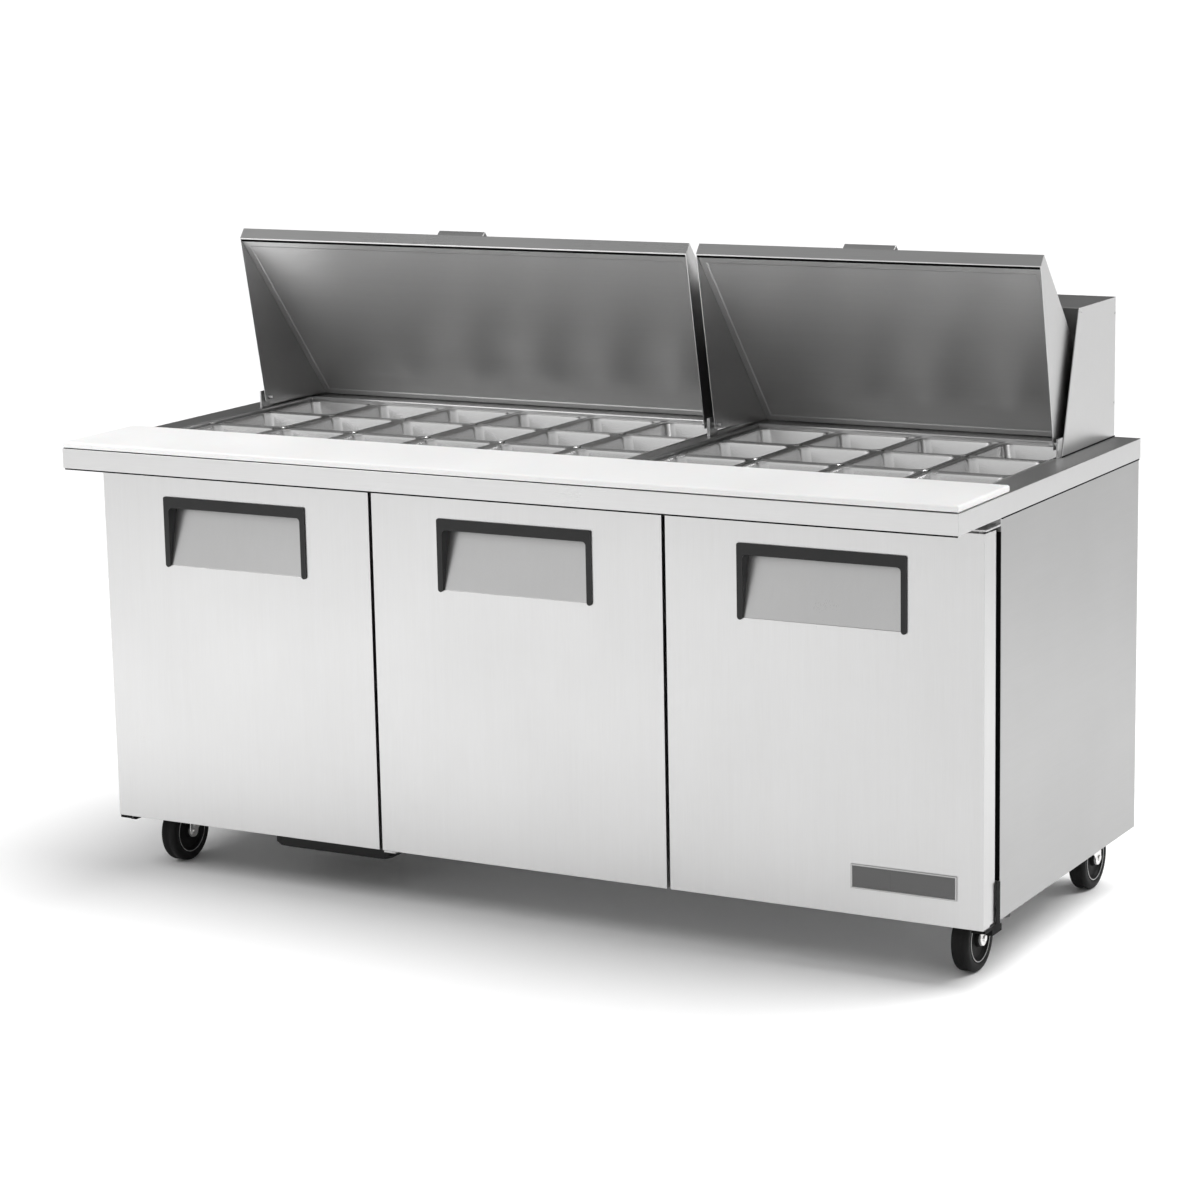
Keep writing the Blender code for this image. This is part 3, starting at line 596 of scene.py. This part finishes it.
def make_counter():
    """The counter sheet with its well, black lines of painted shade along its edges, the divider and the
    board.
    """
    low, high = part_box("countertop")
    wells = [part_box(f"pan_frame_{side}") for side in LIDS]
    play = 0.001
    top = block("counter_sheet", low, high)
    hole_low = (wells[0][0].x - play, wells[0][0].y - play, low.z - 0.01)
    cut(top, block("well", hole_low, (wells[1][1].x + play, wells[1][1].y + play, high.z + 0.01)))
    rounded(top, 0.0012, 3)
    put(top, "cabinet", "steel_x", "countertop")
    # Thin black rods along the board's front and under the counter's front and side edges: painted shade for
    # the dark lines under these edges.
    under_board = (low.y + 0.0010, high.z + 0.0010, 0.0006)
    under_edge = (low.y + 0.0032, low.z - 0.0012, 0.0018)
    lines = []
    for y, z, radius in (under_board, under_edge):
        lines.append(rod((low.x + SHADE_LINE_END, y, z), (high.x - SHADE_LINE_END, y, z), radius))
    for side, sign in (("left", 1), ("right", -1)):
        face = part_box(f"{side}_side_panel")
        x = (face[0] if sign > 0 else face[1]).x - sign * 0.0006
        z = under_edge[1]
        lines.append(rod((x, face[0].y, z), (x, face[1].y - SHADE_LINE_END, z), under_edge[2]))
    put(merge("counter_edge_shade_lines", lines), "cabinet", "black_seal_and_shade")
    bridge = block("counter_divider", *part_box("counter_bridge"))
    rounded(bridge, 0.0022, 4)
    # The divider takes the darker steel: painted shade.
    put(bridge, "cabinet", "shaded_steel_y", "counter_bridge")
    board = block("white_cutting_board", *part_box("cutting_board"))
    rounded(board, 0.0042, 6)
    put(board, "cabinet", "white_board", "cutting_board")
    for side, (frame_low, frame_high) in zip(LIDS, wells):
        make_well_rim(side, frame_low, frame_high, high.z)


def make_well_rim(side, low, high, top):
    """The hemmed edge of the sheet round a well: a low half-round bead."""
    bead = 0.0016
    section = [(-bead * cos(radians(a)), bead * sin(radians(a))) for a in range(0, 181, 30)]
    loops = []
    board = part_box("cutting_board")[1].y
    for inset, rise in section:
        front, rear = board + 0.002 + inset, high.y + 0.004 - inset
        corners = rectangle(low.x - 0.004 + inset, front, high.x + 0.004 - inset, rear)
        loops.append([(x, y, top + rise) for x, y in corners])
    rim = loft(f"well_hem_{side}", loops, ring=True)
    put(rim, "cabinet", "steel_x")


def pan_mesh(size, depth):
    """A gastronorm pan: a turned-down rim, tapered walls and a rounded floor."""
    low, high = (-size[0] / 2, -size[1] / 2), (size[0] / 2, size[1] / 2)
    steel, rim, taper = 0.0009, 0.009, 0.010
    inner = [(0.0, -0.0022, 0.011), (0.0, 0.0, 0.011), (0.0008, steel, 0.011), (rim - 0.002, steel, 0.016)]
    inner += [(rim, -0.001, 0.018), (rim + 0.001, -0.006, 0.019)]
    inner += [(rim + taper * 0.93, 0.010 - depth, 0.026), (rim + taper + 0.003, 0.003 - depth, 0.028)]
    inner += [(rim + taper + 0.010, steel - depth, 0.030)]
    outer = [(rim + taper + 0.010, -depth, 0.030), (rim + taper + 0.003 - steel, 0.002 - depth, 0.028)]
    outer += [(rim + taper * 0.93 - steel, 0.010 - depth, 0.026), (rim + 0.001 - steel, -0.006, 0.019)]
    outer += [(rim - steel - 0.001, -0.0005, 0.017), (steel, -0.0005, 0.012), (steel, -0.0022, 0.011)]
    loops = []
    for inset, z, radius in inner + outer:
        loops.append([(x, y, z) for x, y in round_rectangle(low, high, inset, radius)])
    open_floor, under_floor = len(inner) - 1, len(inner)
    order = loops[open_floor::-1] + loops[: under_floor - 1 : -1]
    made = loft("pan", order)
    mesh = made.data
    bpy.data.objects.remove(made)
    return mesh


def make_pans():
    """Sixth-size pans, three deep, whose rims rest on the pan frames' bars."""
    for side, columns in zip(LIDS, (6, 4)):
        low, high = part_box(f"pan_frame_{side}")
        pitch_x = (high.x - low.x) / columns
        pitch_y = (high.y - low.y) / 3
        mesh = pan_mesh((min(pitch_x, 0.168) - 0.003, pitch_y - 0.002), 0.098)
        for row in range(3):
            for column in range(columns):
                pan = bpy.data.objects.new(f"pan_{side}_{row}_{column}", mesh)
                bpy.context.scene.collection.objects.link(pan)
                x, y = low.x + (column + 0.5) * pitch_x, low.y + (row + 0.5) * pitch_y
                pan.location = (x, y, high.z + 0.0026)
                put(pan, "cabinet", "pan_steel")


# ---------------------------------------------------------------- hood and lids


def make_hood():
    """The folded hood, with hemmed front edges, screws in its sides and a seal under each."""
    low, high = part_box("hood_shell")
    front_high = low.y + 0.078
    hem = 0.0012
    outline = [(low.y, low.z), (high.y, low.z), (high.y, high.z), (front_high, high.z)]
    hood = prism("hood_sheet", outline, "X", low.x, high.x)
    inside = rectangle(low.y - 0.1, low.z - 0.1, high.y - SHEET, high.z - SHEET)
    cut(hood, prism("inside", inside, "X", low.x + SHEET, high.x - SHEET))
    rounded(hood, 0.0007, 2)
    put(hood, "cabinet", "steel_x", "hood_shell")
    hems = []
    for x in (low.x + hem, high.x - hem):
        top = (x, front_high + 0.0008, high.z - 0.002)
        hems.append(rod((x, low.y + 0.0014, low.z + 0.002), top, hem, 12))
    y, z = front_high + hem, high.z - hem
    hems.append(rod((low.x + 0.002, y, z), (high.x - 0.002, y, z), hem, 12))
    put(merge("hood_hems", hems), "cabinet", "steel_x")
    heads, seals = [], []
    for x, sign in ((low.x, -1), (high.x, 1)):
        for z in (low.z + 0.065, high.z - 0.030):
            heads.append(screw((x, high.y - 0.0045, z), (sign, 0, 0), 0.0024))
        heads.append(screw((x, front_high + 0.012, high.z - 0.009), (sign, 0, 0), 0.0022))
        foot = (x + sign * 0.0004, low.z + 0.0008)
        seals.append(rod(spot("Y", foot, low.y), spot("Y", foot, high.y), 0.0012))
    put(merge("hood_screws", heads), "cabinet", "galvanised")
    put(merge("hood_foot_seals", seals), "cabinet", "black_seal_and_shade")


def stand(piece, place, toward):
    """Turns a piece's Z towards a direction and moves it into place."""
    piece.rotation_euler = Vector(toward).to_track_quat("Z", "Y").to_euler()
    piece.location = place
    bpy.context.view_layer.update()
    return piece


def screw(place, toward, radius):
    """A domed screw head with a round recess, seated on a face and standing towards its outside."""
    height = 0.45 * radius
    profile = [(radius, 0), (radius * 0.97, height * 0.4), (radius * 0.75, height * 0.85)]
    profile += [(radius * 0.4, height), (radius * 0.3, height), (radius * 0.22, height * 0.45)]
    return stand(lathe("screw", profile, "Z", (0, 0, 0), steps=20), place, toward)


def hexagon(place, toward, across, height):
    """A hexagon bolt head with a washer under it."""
    washer = lathe("washer", [(across * 0.78, 0), (across * 0.78, height * 0.2)], "Z", (0, 0, 0), steps=24)
    points = arc((0, 0), across * 0.577, 0, 300, 5)
    shoulder = [(0.86 * a, 0.86 * b) for a, b in points]
    loops = [[(*p, height * 0.2) for p in points], [(*p, height * 0.85) for p in points]]
    loops.append([(*p, height) for p in shoulder])
    return merge("bolt", [stand(piece, place, toward) for piece in (washer, loft("hexagon", loops))])


def lid_frame(side):
    """Turns a shape drawn closed about the pivot into its place, tilted open."""
    joint = JOINTS[f"{side}_lid_hinge"]
    pivot = Vector((0, joint["pos_m"][1], joint["pos_m"][2]))
    return Matrix.Translation(pivot) @ Matrix.Rotation(-radians(joint["range_deg"][1]), 4, "X")


def inner_z(y):
    """Height of the lid's underside."""
    return LID_INNER[1] + (y - LID_INNER[0]) * LID_SLOPE


def make_lid(side):
    """The lid's shell, drawn closed with its space cut out and then tilted open, its lining and its pull."""
    low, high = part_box(f"lid_{side}")
    body, turn = f"{side}_lid", lid_frame(side)
    outline = [LID_RIM, LID_LIP, LID_BACK_HIGH, LID_BACK_LOW, LID_HEEL]
    shell = prism(f"lid_{side}_shell", outline, "X", low.x, high.x)
    below = [LID_INNER, (0.3, inner_z(0.3)), (0.3, -0.3), (LID_INNER[0], -0.3)]
    cut(shell, prism("space", below, "X", low.x + SHEET, high.x - SHEET))
    cut(shell, rod((low.x - 0.1, 0, 0), (high.x + 0.1, 0, 0), 0.0044, 20))
    rounded(shell, 0.0008, 3)
    shell.data.transform(turn)
    put(shell, body, "steel_x", f"lid_{side}")
    make_lid_lining(side, low.x, high.x, turn)
    make_lid_pull(side, turn)


def make_lid_lining(side, x_low, x_high, turn):
    """The insulated panel's underside: a sheet with a pressed border, and a black seal on the lid's rim."""
    inset = SHEET + GAP
    front, back = LID_INNER[0] + GAP, LID_BACK_HIGH[0] - GAP
    low, high = x_low + inset, x_high - inset
    slope = Vector((0, back - front, inner_z(back) - inner_z(front)))
    length = slope.length
    along = slope.normalized()
    down = Vector((0, along.z, -along.y))
    origin = Vector((0, front, inner_z(front) - GAP))
    section = [(0, 0), (0, LID_LINER), (0.012, LID_LINER), (0.0145, LID_LINER - 0.0011)]
    loops = []
    for edge, depth in section:
        corners = rectangle(low + edge, edge, high - edge, length - edge)
        loops.append([origin + Vector((x, 0, 0)) + along * run + down * depth for x, run in corners])
    lining = loft(f"lid_{side}_lining", loops)
    rounded(lining, 0.0004, 2, 20)
    lining.data.transform(turn)
    put(lining, f"{side}_lid", "dark_steel", f"lid_{side}_liner")
    seal_low = (low, LID_RIM[0] + 0.0018, LID_RIM[1] - 0.0006)
    seal = block(f"lid_{side}_rim_seal", seal_low, (high, LID_INNER[0] + 0.0004, LID_RIM[1] + 0.0010))
    seal.data.transform(turn)
    put(rounded(seal, 0.0004, 2), f"{side}_lid", "black_seal_and_shade")


def make_lid_pull(side, turn):
    """A folded strip just behind the lip, open to the rear for the fingers."""
    box_low, box_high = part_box(f"lid_{side}_handle")
    slope = atan2(LID_BACK_HIGH[1] - LID_LIP[1], LID_BACK_HIGH[0] - LID_LIP[0])
    start, foot, grip, height = 0.004, 0.036, 0.019, 0.016
    section = [(foot, GAP), (foot, GAP + SHEET)]
    section += arc((start + 2 * SHEET, GAP + 2 * SHEET), SHEET, 270, 180, 4)
    section += arc((start + 2 * SHEET, height - 2 * SHEET), SHEET, 180, 90, 4)
    section += [(grip, height - SHEET), (grip, height)]
    section += arc((start + 0.003, height - 0.003), 0.003, 90, 180, 6)
    section += arc((start + 0.003, GAP + 0.003), 0.003, 180, 270, 6)
    outline = [
        (LID_LIP[0] + u * cos(slope) - n * sin(slope), LID_LIP[1] + u * sin(slope) + n * cos(slope))
        for u, n in section
    ]
    pull = prism(f"lid_{side}_pull", outline, "X", box_low.x, box_high.x)
    rounded(pull, 0.0004, 2, 40)
    pull.data.transform(turn)
    put(pull, f"{side}_lid", "steel_x", f"lid_{side}_handle")


# ---------------------------------------------------------------- inside


def make_shelf(side):
    """A welded wire shelf: a round frame, wires front to back, and two bars under them."""
    low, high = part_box(f"shelf_{side}")
    edge, wire, bar = 0.0028, 0.0016, 0.0022
    z = high.z - edge - 0.0002
    corner = 0.018
    corners = round_rectangle((low.x, low.y), (high.x, high.y), edge, corner)
    pieces = [pipe("frame", [(x, y, z) for x, y in corners], edge, closed=True)]
    count = round((high.x - low.x) / 0.024)
    for i in range(1, count):
        x = low.x + (high.x - low.x) * i / count
        pieces.append(rod((x, low.y + edge, high.z - wire), (x, high.y - edge, high.z - wire), wire, 8))
    for share in (0.33, 0.67):
        y = low.y + share * (high.y - low.y)
        pieces.append(rod((low.x + edge, y, low.z + bar), (high.x - edge, y, low.z + bar), bar, 8))
    put(merge(f"wire_shelf_{side}", pieces), "cabinet", "coated_wire", f"shelf_{side}")


def make_coil(name, node, rows, look):
    """Thin fins between two end plates, and the bends of the tube that runs through them."""
    low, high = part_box(node)
    pitch, sheet, edge = 0.0045, 0.0004, 0.012
    count = int((high.x - low.x) / pitch)
    fins = []
    for i in range(count + 1):
        x = low.x + edge + (high.x - low.x - 2 * edge) * i / count
        thick = 0.0015 if i in (0, count) else sheet
        fins.append(block("fin", (x - thick / 2, low.y, low.z), (x + thick / 2, high.y, high.z)))
    put(merge(f"{name}_fins", fins), "cabinet", look, node)
    bends, middle, tube = [], (low.y + high.y) / 2, 0.0042
    step = (high.z - low.z) / (rows + 1)
    for i in range(rows - 1):
        z = low.z + (i + 1) * step
        side, sign = (low.x + edge, -1) if i % 2 else (high.x - edge, 1)
        turns = [radians(-90 + 15 * k) for k in range(13)]
        reach = edge - tube - 0.0005
        bend = [(side + sign * reach * cos(t), middle, z + step / 2 + step / 2 * sin(t)) for t in turns]
        bends.append(pipe("bend", bend, tube))
    put(merge(f"{name}_tube_bends", bends), "cabinet", "copper")


def make_fan(name, joint, body):
    """Twisted blades on a round hub."""
    low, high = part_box(name)
    centre = Vector(JOINTS[joint]["pos_m"])
    radius = min(high.x - low.x, high.z - low.z) / 2 - 0.001
    half = (high.y - low.y) / 2
    hub = 0.28 * radius
    across_blade = [-1 + k / 3 for k in range(7)]
    section = [(across, 1) for across in across_blade]
    section += [(across, -1) for across in reversed(across_blade)]
    pieces = []
    for blade in range(BLADES):
        turn = 2 * pi * blade / BLADES
        loops = []
        for i in range(9):
            share = i / 8
            reach = 0.9 * hub + (radius - 0.9 * hub) * share
            spread = radians(22 + 10 * sin(pi * share))
            loop = []
            for across, face in section:
                angle = turn + across * spread + 0.25 * share
                y = across * 0.82 * half + face * 0.0005 + 0.15 * half * (1 - across * across)
                loop.append((centre.x + reach * cos(angle), centre.y + y, centre.z + reach * sin(angle)))
            loops.append(loop)
        pieces.append(loft("blade", loops))
    profile = [(hub, -0.9 * half), (hub, 0.7 * half), (0.8 * hub, half), (0.2 * hub, half)]
    pieces.append(lathe("hub", profile, "Y", centre, steps=32))
    put(merge(f"{name}_blades", pieces), body, "aluminium", name)


def make_compressor():
    """A welded steel dome in two halves, with its seam and a terminal cover."""
    low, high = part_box("compressor")
    centre = (low + high) / 2
    radius, seam = (high.x - low.x) / 2 - 0.003, (low.z + high.z) / 2
    profile = [(radius * 0.6, low.z), (radius * 0.86, low.z + 0.004), (radius * 0.95, low.z + 0.020)]
    profile += [(radius * 0.97, seam), (radius + 0.003, seam + 0.001)]
    profile += [(radius + 0.003, seam + 0.008), (radius * 0.97, seam + 0.009)]
    profile += [(radius * 0.95, high.z - 0.045), (radius * 0.86, high.z - 0.020)]
    profile += [(radius * 0.62, high.z - 0.006), (radius * 0.3, high.z - 0.001)]
    shell = lathe("dome", profile, "Z", (centre.x, centre.y, 0))
    cover_low = (centre.x - 0.022, low.y + 0.001, centre.z - 0.035)
    cover = block("cover", cover_low, (centre.x + 0.022, centre.y - 0.5 * radius, centre.z - 0.002))
    rounded(cover, 0.004, 3)
    put(merge("compressor_shell", [shell, cover]), "cabinet", "black_paint", "compressor")


def make_tray():
    """A moulded tray with a rolled rim and drafted walls."""
    low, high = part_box("condensate_tray")
    corner_low, corner_high = (low.x, low.y), (high.x, high.y)
    rings = [(0.030, low.z + 0.004, 0.020), (0.016, low.z + 0.004, 0.016), (0.010, low.z + 0.010, 0.013)]
    rings += [(0.007, high.z - 0.004, 0.012), (0.006, high.z - 0.001, 0.012), (0.004, high.z, 0.011)]
    rings += [(0.0012, high.z - 0.0005, 0.010), (0.0, high.z - 0.003, 0.010), (0.001, high.z - 0.007, 0.010)]
    rings += [(0.003, low.z + 0.010, 0.011), (0.007, low.z + 0.003, 0.014), (0.014, low.z, 0.018)]
    loops = []
    for inset, z, radius in rings:
        loops.append([(x, y, z) for x, y in round_rectangle(corner_low, corner_high, inset, radius, 8)])
    put(loft("drip_tray", loops), "cabinet", "black_plastic", "condensate_tray")


def make_louvres():
    """Angled blades behind the grille's slots."""
    low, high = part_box("rear_grille")
    middle = (low.z + high.z) / 2
    blades = []
    for column in range(10):
        for row in range(7):
            x = (column - 4.5) * 0.160
            z = middle + (row - 3) * 0.022
            outline = [(low.y - 0.008, z + 0.011), (low.y - 0.0003, z + 0.0036)]
            outline += [(low.y - 0.0003, z + 0.0048), (low.y - 0.008, z + 0.0122)]
            blades.append(prism("blade", outline, "X", x - 0.056, x + 0.056))
    put(merge("grille_louvres", blades), "cabinet", "galvanised")


# ---------------------------------------------------------------- casters


def make_wheel(corner):
    """A rubber tyre on a black centre, with a hub ring on each face."""
    joint = JOINTS[f"{corner}_wheel_spin"]
    centre = Vector(joint["pos_m"])
    low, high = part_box(f"caster_{corner}_wheel")
    radius, half = (high.z - low.z) / 2, 0.017
    bore = 0.0068
    face = [(bore, 0.0188), (0.0150, 0.0188), (0.0162, 0.0176), (0.0170, 0.0112), (0.0200, 0.0100)]
    face += [(0.0360, 0.0094), (0.0395, 0.0120), (0.0405, 0.0150), (0.0425, 0.0162), (0.0445, 0.0150)]
    face += [(0.0455, 0.0158), (0.0500, half)]
    face += arc((radius - 0.0075, half - 0.0075), 0.0075, 80, 0, 8)
    tread = [(radius - 0.0005, 0.0045), (radius - 0.0012, 0.0035)]
    side = [(r, a) for r, a in face] + tread
    profile = side + [(r, -a) for r, a in reversed(side)]
    wheel = lathe(f"wheel_{corner}", profile, "X", centre, ring=True, steps=72)
    body = f"{corner}_wheel"
    put(wheel, body, "black_rubber", f"caster_{corner}_wheel")
    rings = []
    for sign in (-1, 1):
        ring = [(0.0418, 0.0158), (0.0418, 0.0166), (0.0432, 0.0166), (0.0432, 0.0158)]
        ring = [(r, sign * a) for r, a in ring]
        rings.append(lathe("ring", ring, "X", centre, ring=True, steps=72))
        cap = [(bore + 0.0008, 0.0180), (0.0142, 0.0180), (0.0138, 0.0193), (bore + 0.0008, 0.0193)]
        cap = [(r, sign * a) for r, a in cap]
        rings.append(lathe("cap", cap, "X", centre, ring=True, steps=36))
    put(merge(f"wheel_rings_{corner}", rings), body, "galvanised")


def make_fork(corner):
    """A pressed yoke: a crown plate, two tapering cheeks, a ball race, a kingpin and an axle bolt."""
    body = f"{corner}_swivel"
    pin = Vector(JOINTS[f"{corner}_swivel_joint"]["pos_m"])
    axle = Vector(JOINTS[f"{corner}_wheel_spin"]["pos_m"])
    low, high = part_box(f"caster_{corner}_fork")
    crown, inner, sheet, top = 0.0285, 0.0205, 0.0025, 0.130
    sign = 1 if axle.y > pin.y else -1
    cheek = [(pin.y - sign * crown, top), (pin.y - sign * crown, top - 0.028)]
    cheek += [(pin.y + sign * 0.009, top - 0.062)]
    start, end = (180, 360) if sign > 0 else (0, -180)
    cheek += arc((axle.y, axle.z), 0.0135, start, end, 12)
    cheek += [(pin.y + sign * 0.040, top - 0.034), (pin.y + sign * 0.036, top)]
    pieces = [prism("yoke", cheek, "X", pin.x - inner - sheet, pin.x + inner + sheet)]
    hollow = ((pin.x - inner, pin.y - 0.1, 0.0), (pin.x + inner, pin.y + 0.1, top - 0.004))
    cut(pieces[0], block("hollow", *hollow))
    rounded(pieces[0], 0.0009, 2)
    race = [(0.0250, top - 0.001), (0.0270, top + 0.001), (0.0270, top + 0.003), (0.0235, top + 0.004)]
    race += [(0.0235, top + 0.0055), (0.0268, top + 0.0065), (0.0262, top + 0.0090), (0.009, top + 0.0094)]
    race += [(0.009, high.z - 0.001), (0.008, high.z)]
    pieces.append(lathe("race", race, "Z", (pin.x, pin.y, 0), steps=40))
    pieces.append(rod((low.x + 0.001, axle.y, axle.z), (high.x - 0.001, axle.y, axle.z), 0.0058, 20))
    put(merge(f"caster_{corner}_yoke", pieces), body, "zinc", f"caster_{corner}_fork")


def make_pedal(corner):
    """The brake's lever, with ribs across its tip."""
    low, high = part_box(f"caster_{corner}_brake_pedal")
    joint = Vector(JOINTS[f"{corner}_brake"]["pos_m"])
    outline = arc((joint.y, joint.z), 0.009, 90, 270, 12)
    outline += arc((joint.y + 0.046, joint.z - 0.012), 0.0055, -90, 90, 10)
    pedal = prism(f"brake_lever_{corner}", outline, "X", low.x, high.x)
    for share in (0.62, 0.72, 0.82):
        y = joint.y + 0.046 * share
        z = joint.z + 0.0088 - 0.0153 * share
        groove_low = (low.x - 0.01, y - 0.0009, z - 0.0006)
        cut(pedal, block("groove", groove_low, (high.x + 0.01, y + 0.0009, z + 0.01)))
    rounded(pedal, 0.0010, 3)
    put(pedal, f"{corner}_pedal", "black_plastic", f"caster_{corner}_brake_pedal")


def slab(name, outer, reach, low, high):
    """A block between two (y, z) corners, whose X is given as reaches beyond an outer face."""
    near, far = sorted(outer + (share if outer > 0 else -share) for share in reach)
    return block(name, (near, *low), (far, *high))


def make_corner_painted_shade(side):
    """Painted shade: a black shoe round the outer bottom hinge, and a black strip in the door's gap above
    it, dark pieces standing in for the shade there.
    """
    low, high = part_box(f"hinge_bottom_{side}")
    door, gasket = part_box(f"door_{side}"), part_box(f"door_{side}_gasket")
    outer = high.x if side == "right" else low.x
    foot, proud = 0.094, 0.0011
    front, rear = low.y - proud, high.y - 0.0004
    lip, under_door = low.z - 0.001, door[0].z - 0.0006
    shoe_low, shoe_high = (low.y + 0.0305, foot), (high.y + 0.0068, low.z - GAP)
    shoe = slab(f"corner_shade_shoe_{side}", outer, (-0.012, proud), shoe_low, shoe_high)
    join(shoe, slab("side_lip", outer, (GAP, proud), (front, lip), (rear, under_door)))
    join(shoe, slab("front_lip", outer, (low.x - high.x, proud), (front, lip), (low.y - GAP, under_door)))
    join(shoe, slab("back_plate", outer, (GAP, proud), (door[1].y, foot), (rear, high.z)))
    # The black shoe is painted shade for the dark hollow below the door's outer bottom corner.
    put(rounded(shoe, 0.0003, 2), "cabinet", "matt_black")
    beside_gasket = max(abs(gasket[0].x), abs(gasket[1].x)) + 0.0006 - abs(outer)
    face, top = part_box(f"{side}_side_panel")[0].y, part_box(f"hinge_top_{side}")[0].z
    strip_low, strip_high = (face - 0.0020, high.z + GAP), (face - GAP, top - GAP)
    strip = slab(f"gap_shade_strip_{side}", outer, (beside_gasket, -0.0002), strip_low, strip_high)
    # The strip is painted shade for the dark gap between the door and the side panel.
    put(rounded(strip, 0.0003, 2), "cabinet", "black_seal_and_shade")


def make_bolts():
    """Hexagon heads under the caster plates."""
    bolts = []
    for corner in CORNERS:
        pin = Vector(JOINTS[f"{corner}_swivel_joint"]["pos_m"])
        for dx in (-0.017, 0.017):
            for dy in (-0.037, 0.037):
                bolts.append(hexagon((pin.x + dx, pin.y + dy, 0.142), (0, 0, -1), 0.011, 0.005))
    put(merge("caster_plate_bolts", bolts), "cabinet", "zinc")


# ---------------------------------------------------------------- stage


def make_stage():
    """A plain pale floor, a sky that is bright in front and dim behind, a soft sun and two softboxes."""
    corners = rectangle(-FLOOR_REACH, -FLOOR_REACH, FLOOR_REACH, FLOOR_REACH)
    floor = loft("floor", [[(x, y, z) for x, y in corners] for z in (-0.02, -0.0002)])
    paper = bpy.data.materials.new("pale_floor")
    paper.use_nodes = True
    shader = paper.node_tree.nodes["Principled BSDF"]
    shader.inputs["Base Color"].default_value = (*gray(FLOOR_GRAY), 1)
    shader.inputs["Roughness"].default_value = 0.9
    floor.data.materials.append(paper)
    sky = bpy.data.worlds.new("studio")
    bpy.context.scene.world = sky
    sky.use_nodes = True
    nodes, links = sky.node_tree.nodes, sky.node_tree.links
    place = nodes.new("ShaderNodeTexCoord")
    split = nodes.new("ShaderNodeSeparateXYZ")
    links.new(place.outputs["Generated"], split.inputs["Vector"])
    blend = nodes.new("ShaderNodeMapRange")
    blend.interpolation_type = "SMOOTHSTEP"
    blend.inputs["From Min"].default_value, blend.inputs["From Max"].default_value = WALL_BLEND
    links.new(split.outputs["Y"], blend.inputs["Value"])
    mix = nodes.new("ShaderNodeMix")
    mix.data_type = "RGBA"
    links.new(blend.outputs["Result"], mix.inputs["Factor"])
    for socket, wall in ((mix.inputs[6], FRONT_WALL), (mix.inputs[7], BACK_WALL)):
        ramp = nodes.new("ShaderNodeValToRGB")
        stops = ramp.color_ramp.elements
        while len(stops) < len(wall):
            stops.new(1.0)
        for stop, (height, glow) in zip(stops, wall):
            stop.position, stop.color = height, (*gray(glow), 1)
        links.new(split.outputs["Z"], ramp.inputs["Fac"])
        links.new(ramp.outputs["Color"], socket)
    links.new(mix.outputs[2], nodes["Background"].inputs["Color"])
    lamp = bpy.data.lights.new("soft_key", "SUN")
    lamp.energy = SUN_STRENGTH
    lamp.angle = radians(SUN_WIDTH)
    key = bpy.data.objects.new("soft_key", lamp)
    key.rotation_euler = Vector(SUN_FROM).to_track_quat("Z", "Y").to_euler()
    bpy.context.scene.collection.objects.link(key)
    for place, size, power in SOFTBOXES:
        box = bpy.data.lights.new("softbox", "AREA")
        box.shape, box.size, box.energy = "SQUARE", size, power
        softbox = bpy.data.objects.new("softbox", box)
        softbox.location = place
        bpy.context.scene.collection.objects.link(softbox)
    bpy.context.scene.view_settings.view_transform = "Standard"


def make_camera():
    lens = bpy.data.cameras.new("camera")
    lens.sensor_width = SENSOR
    lens.lens = LENS
    lens.clip_end = 400
    camera = bpy.data.objects.new("camera", lens)
    turn = Matrix.Rotation(CAMERA_YAW, 4, "Z") @ Matrix.Rotation(pi / 2 - CAMERA_TILT, 4, "X")
    turn = turn @ Matrix.Rotation(CAMERA_ROLL, 4, "Z")
    camera.matrix_world = Matrix.Translation(CAMERA_AT) @ turn
    bpy.context.scene.collection.objects.link(camera)
    bpy.context.scene.camera = camera


make_camera()
make_stage()
for door in DOORS:
    make_door(door)
    make_shelf(door)
make_name_plate()
make_counter()
make_pans()
make_hood()
for lid in LIDS:
    make_lid(lid)
for wheel_corner in CORNERS:
    make_wheel(wheel_corner)
    make_fork(wheel_corner)
for pedal_corner in CORNERS[:2]:
    make_pedal(pedal_corner)
make_bolts()
# Black pieces of painted shade at the outer bottom corners.
for shade_side in ("left", "right"):
    make_corner_painted_shade(shade_side)
make_coil("evaporator", "evaporator_coil", 3, "aluminium")
make_coil("condenser", "condenser_coil", 6, "aluminium")
make_fan("evaporator_fan", "evaporator_fan_spin", "evaporator_rotor")
make_fan("condenser_fan", "condenser_fan_spin", "condenser_rotor")
make_compressor()
make_tray()
make_louvres()
# The side panels take the darker steel: painted shade for their dimmer reflections.
paint_nodes("shaded_steel_y", "left_side_panel", "right_side_panel")
paint_nodes("steel_x", "front_frame", "pan_frame_left", "pan_frame_right")
paint_nodes("galvanised", "base_panel", "rear_panel", "rear_grille")
paint_nodes("white_liner", "interior_liner")
paint_nodes("galvanised", "lid_pivot_left", "lid_pivot_centre", "lid_pivot_right")
for door in DOORS:
    paint_nodes("galvanised", f"hinge_top_{door}", f"hinge_bottom_{door}")
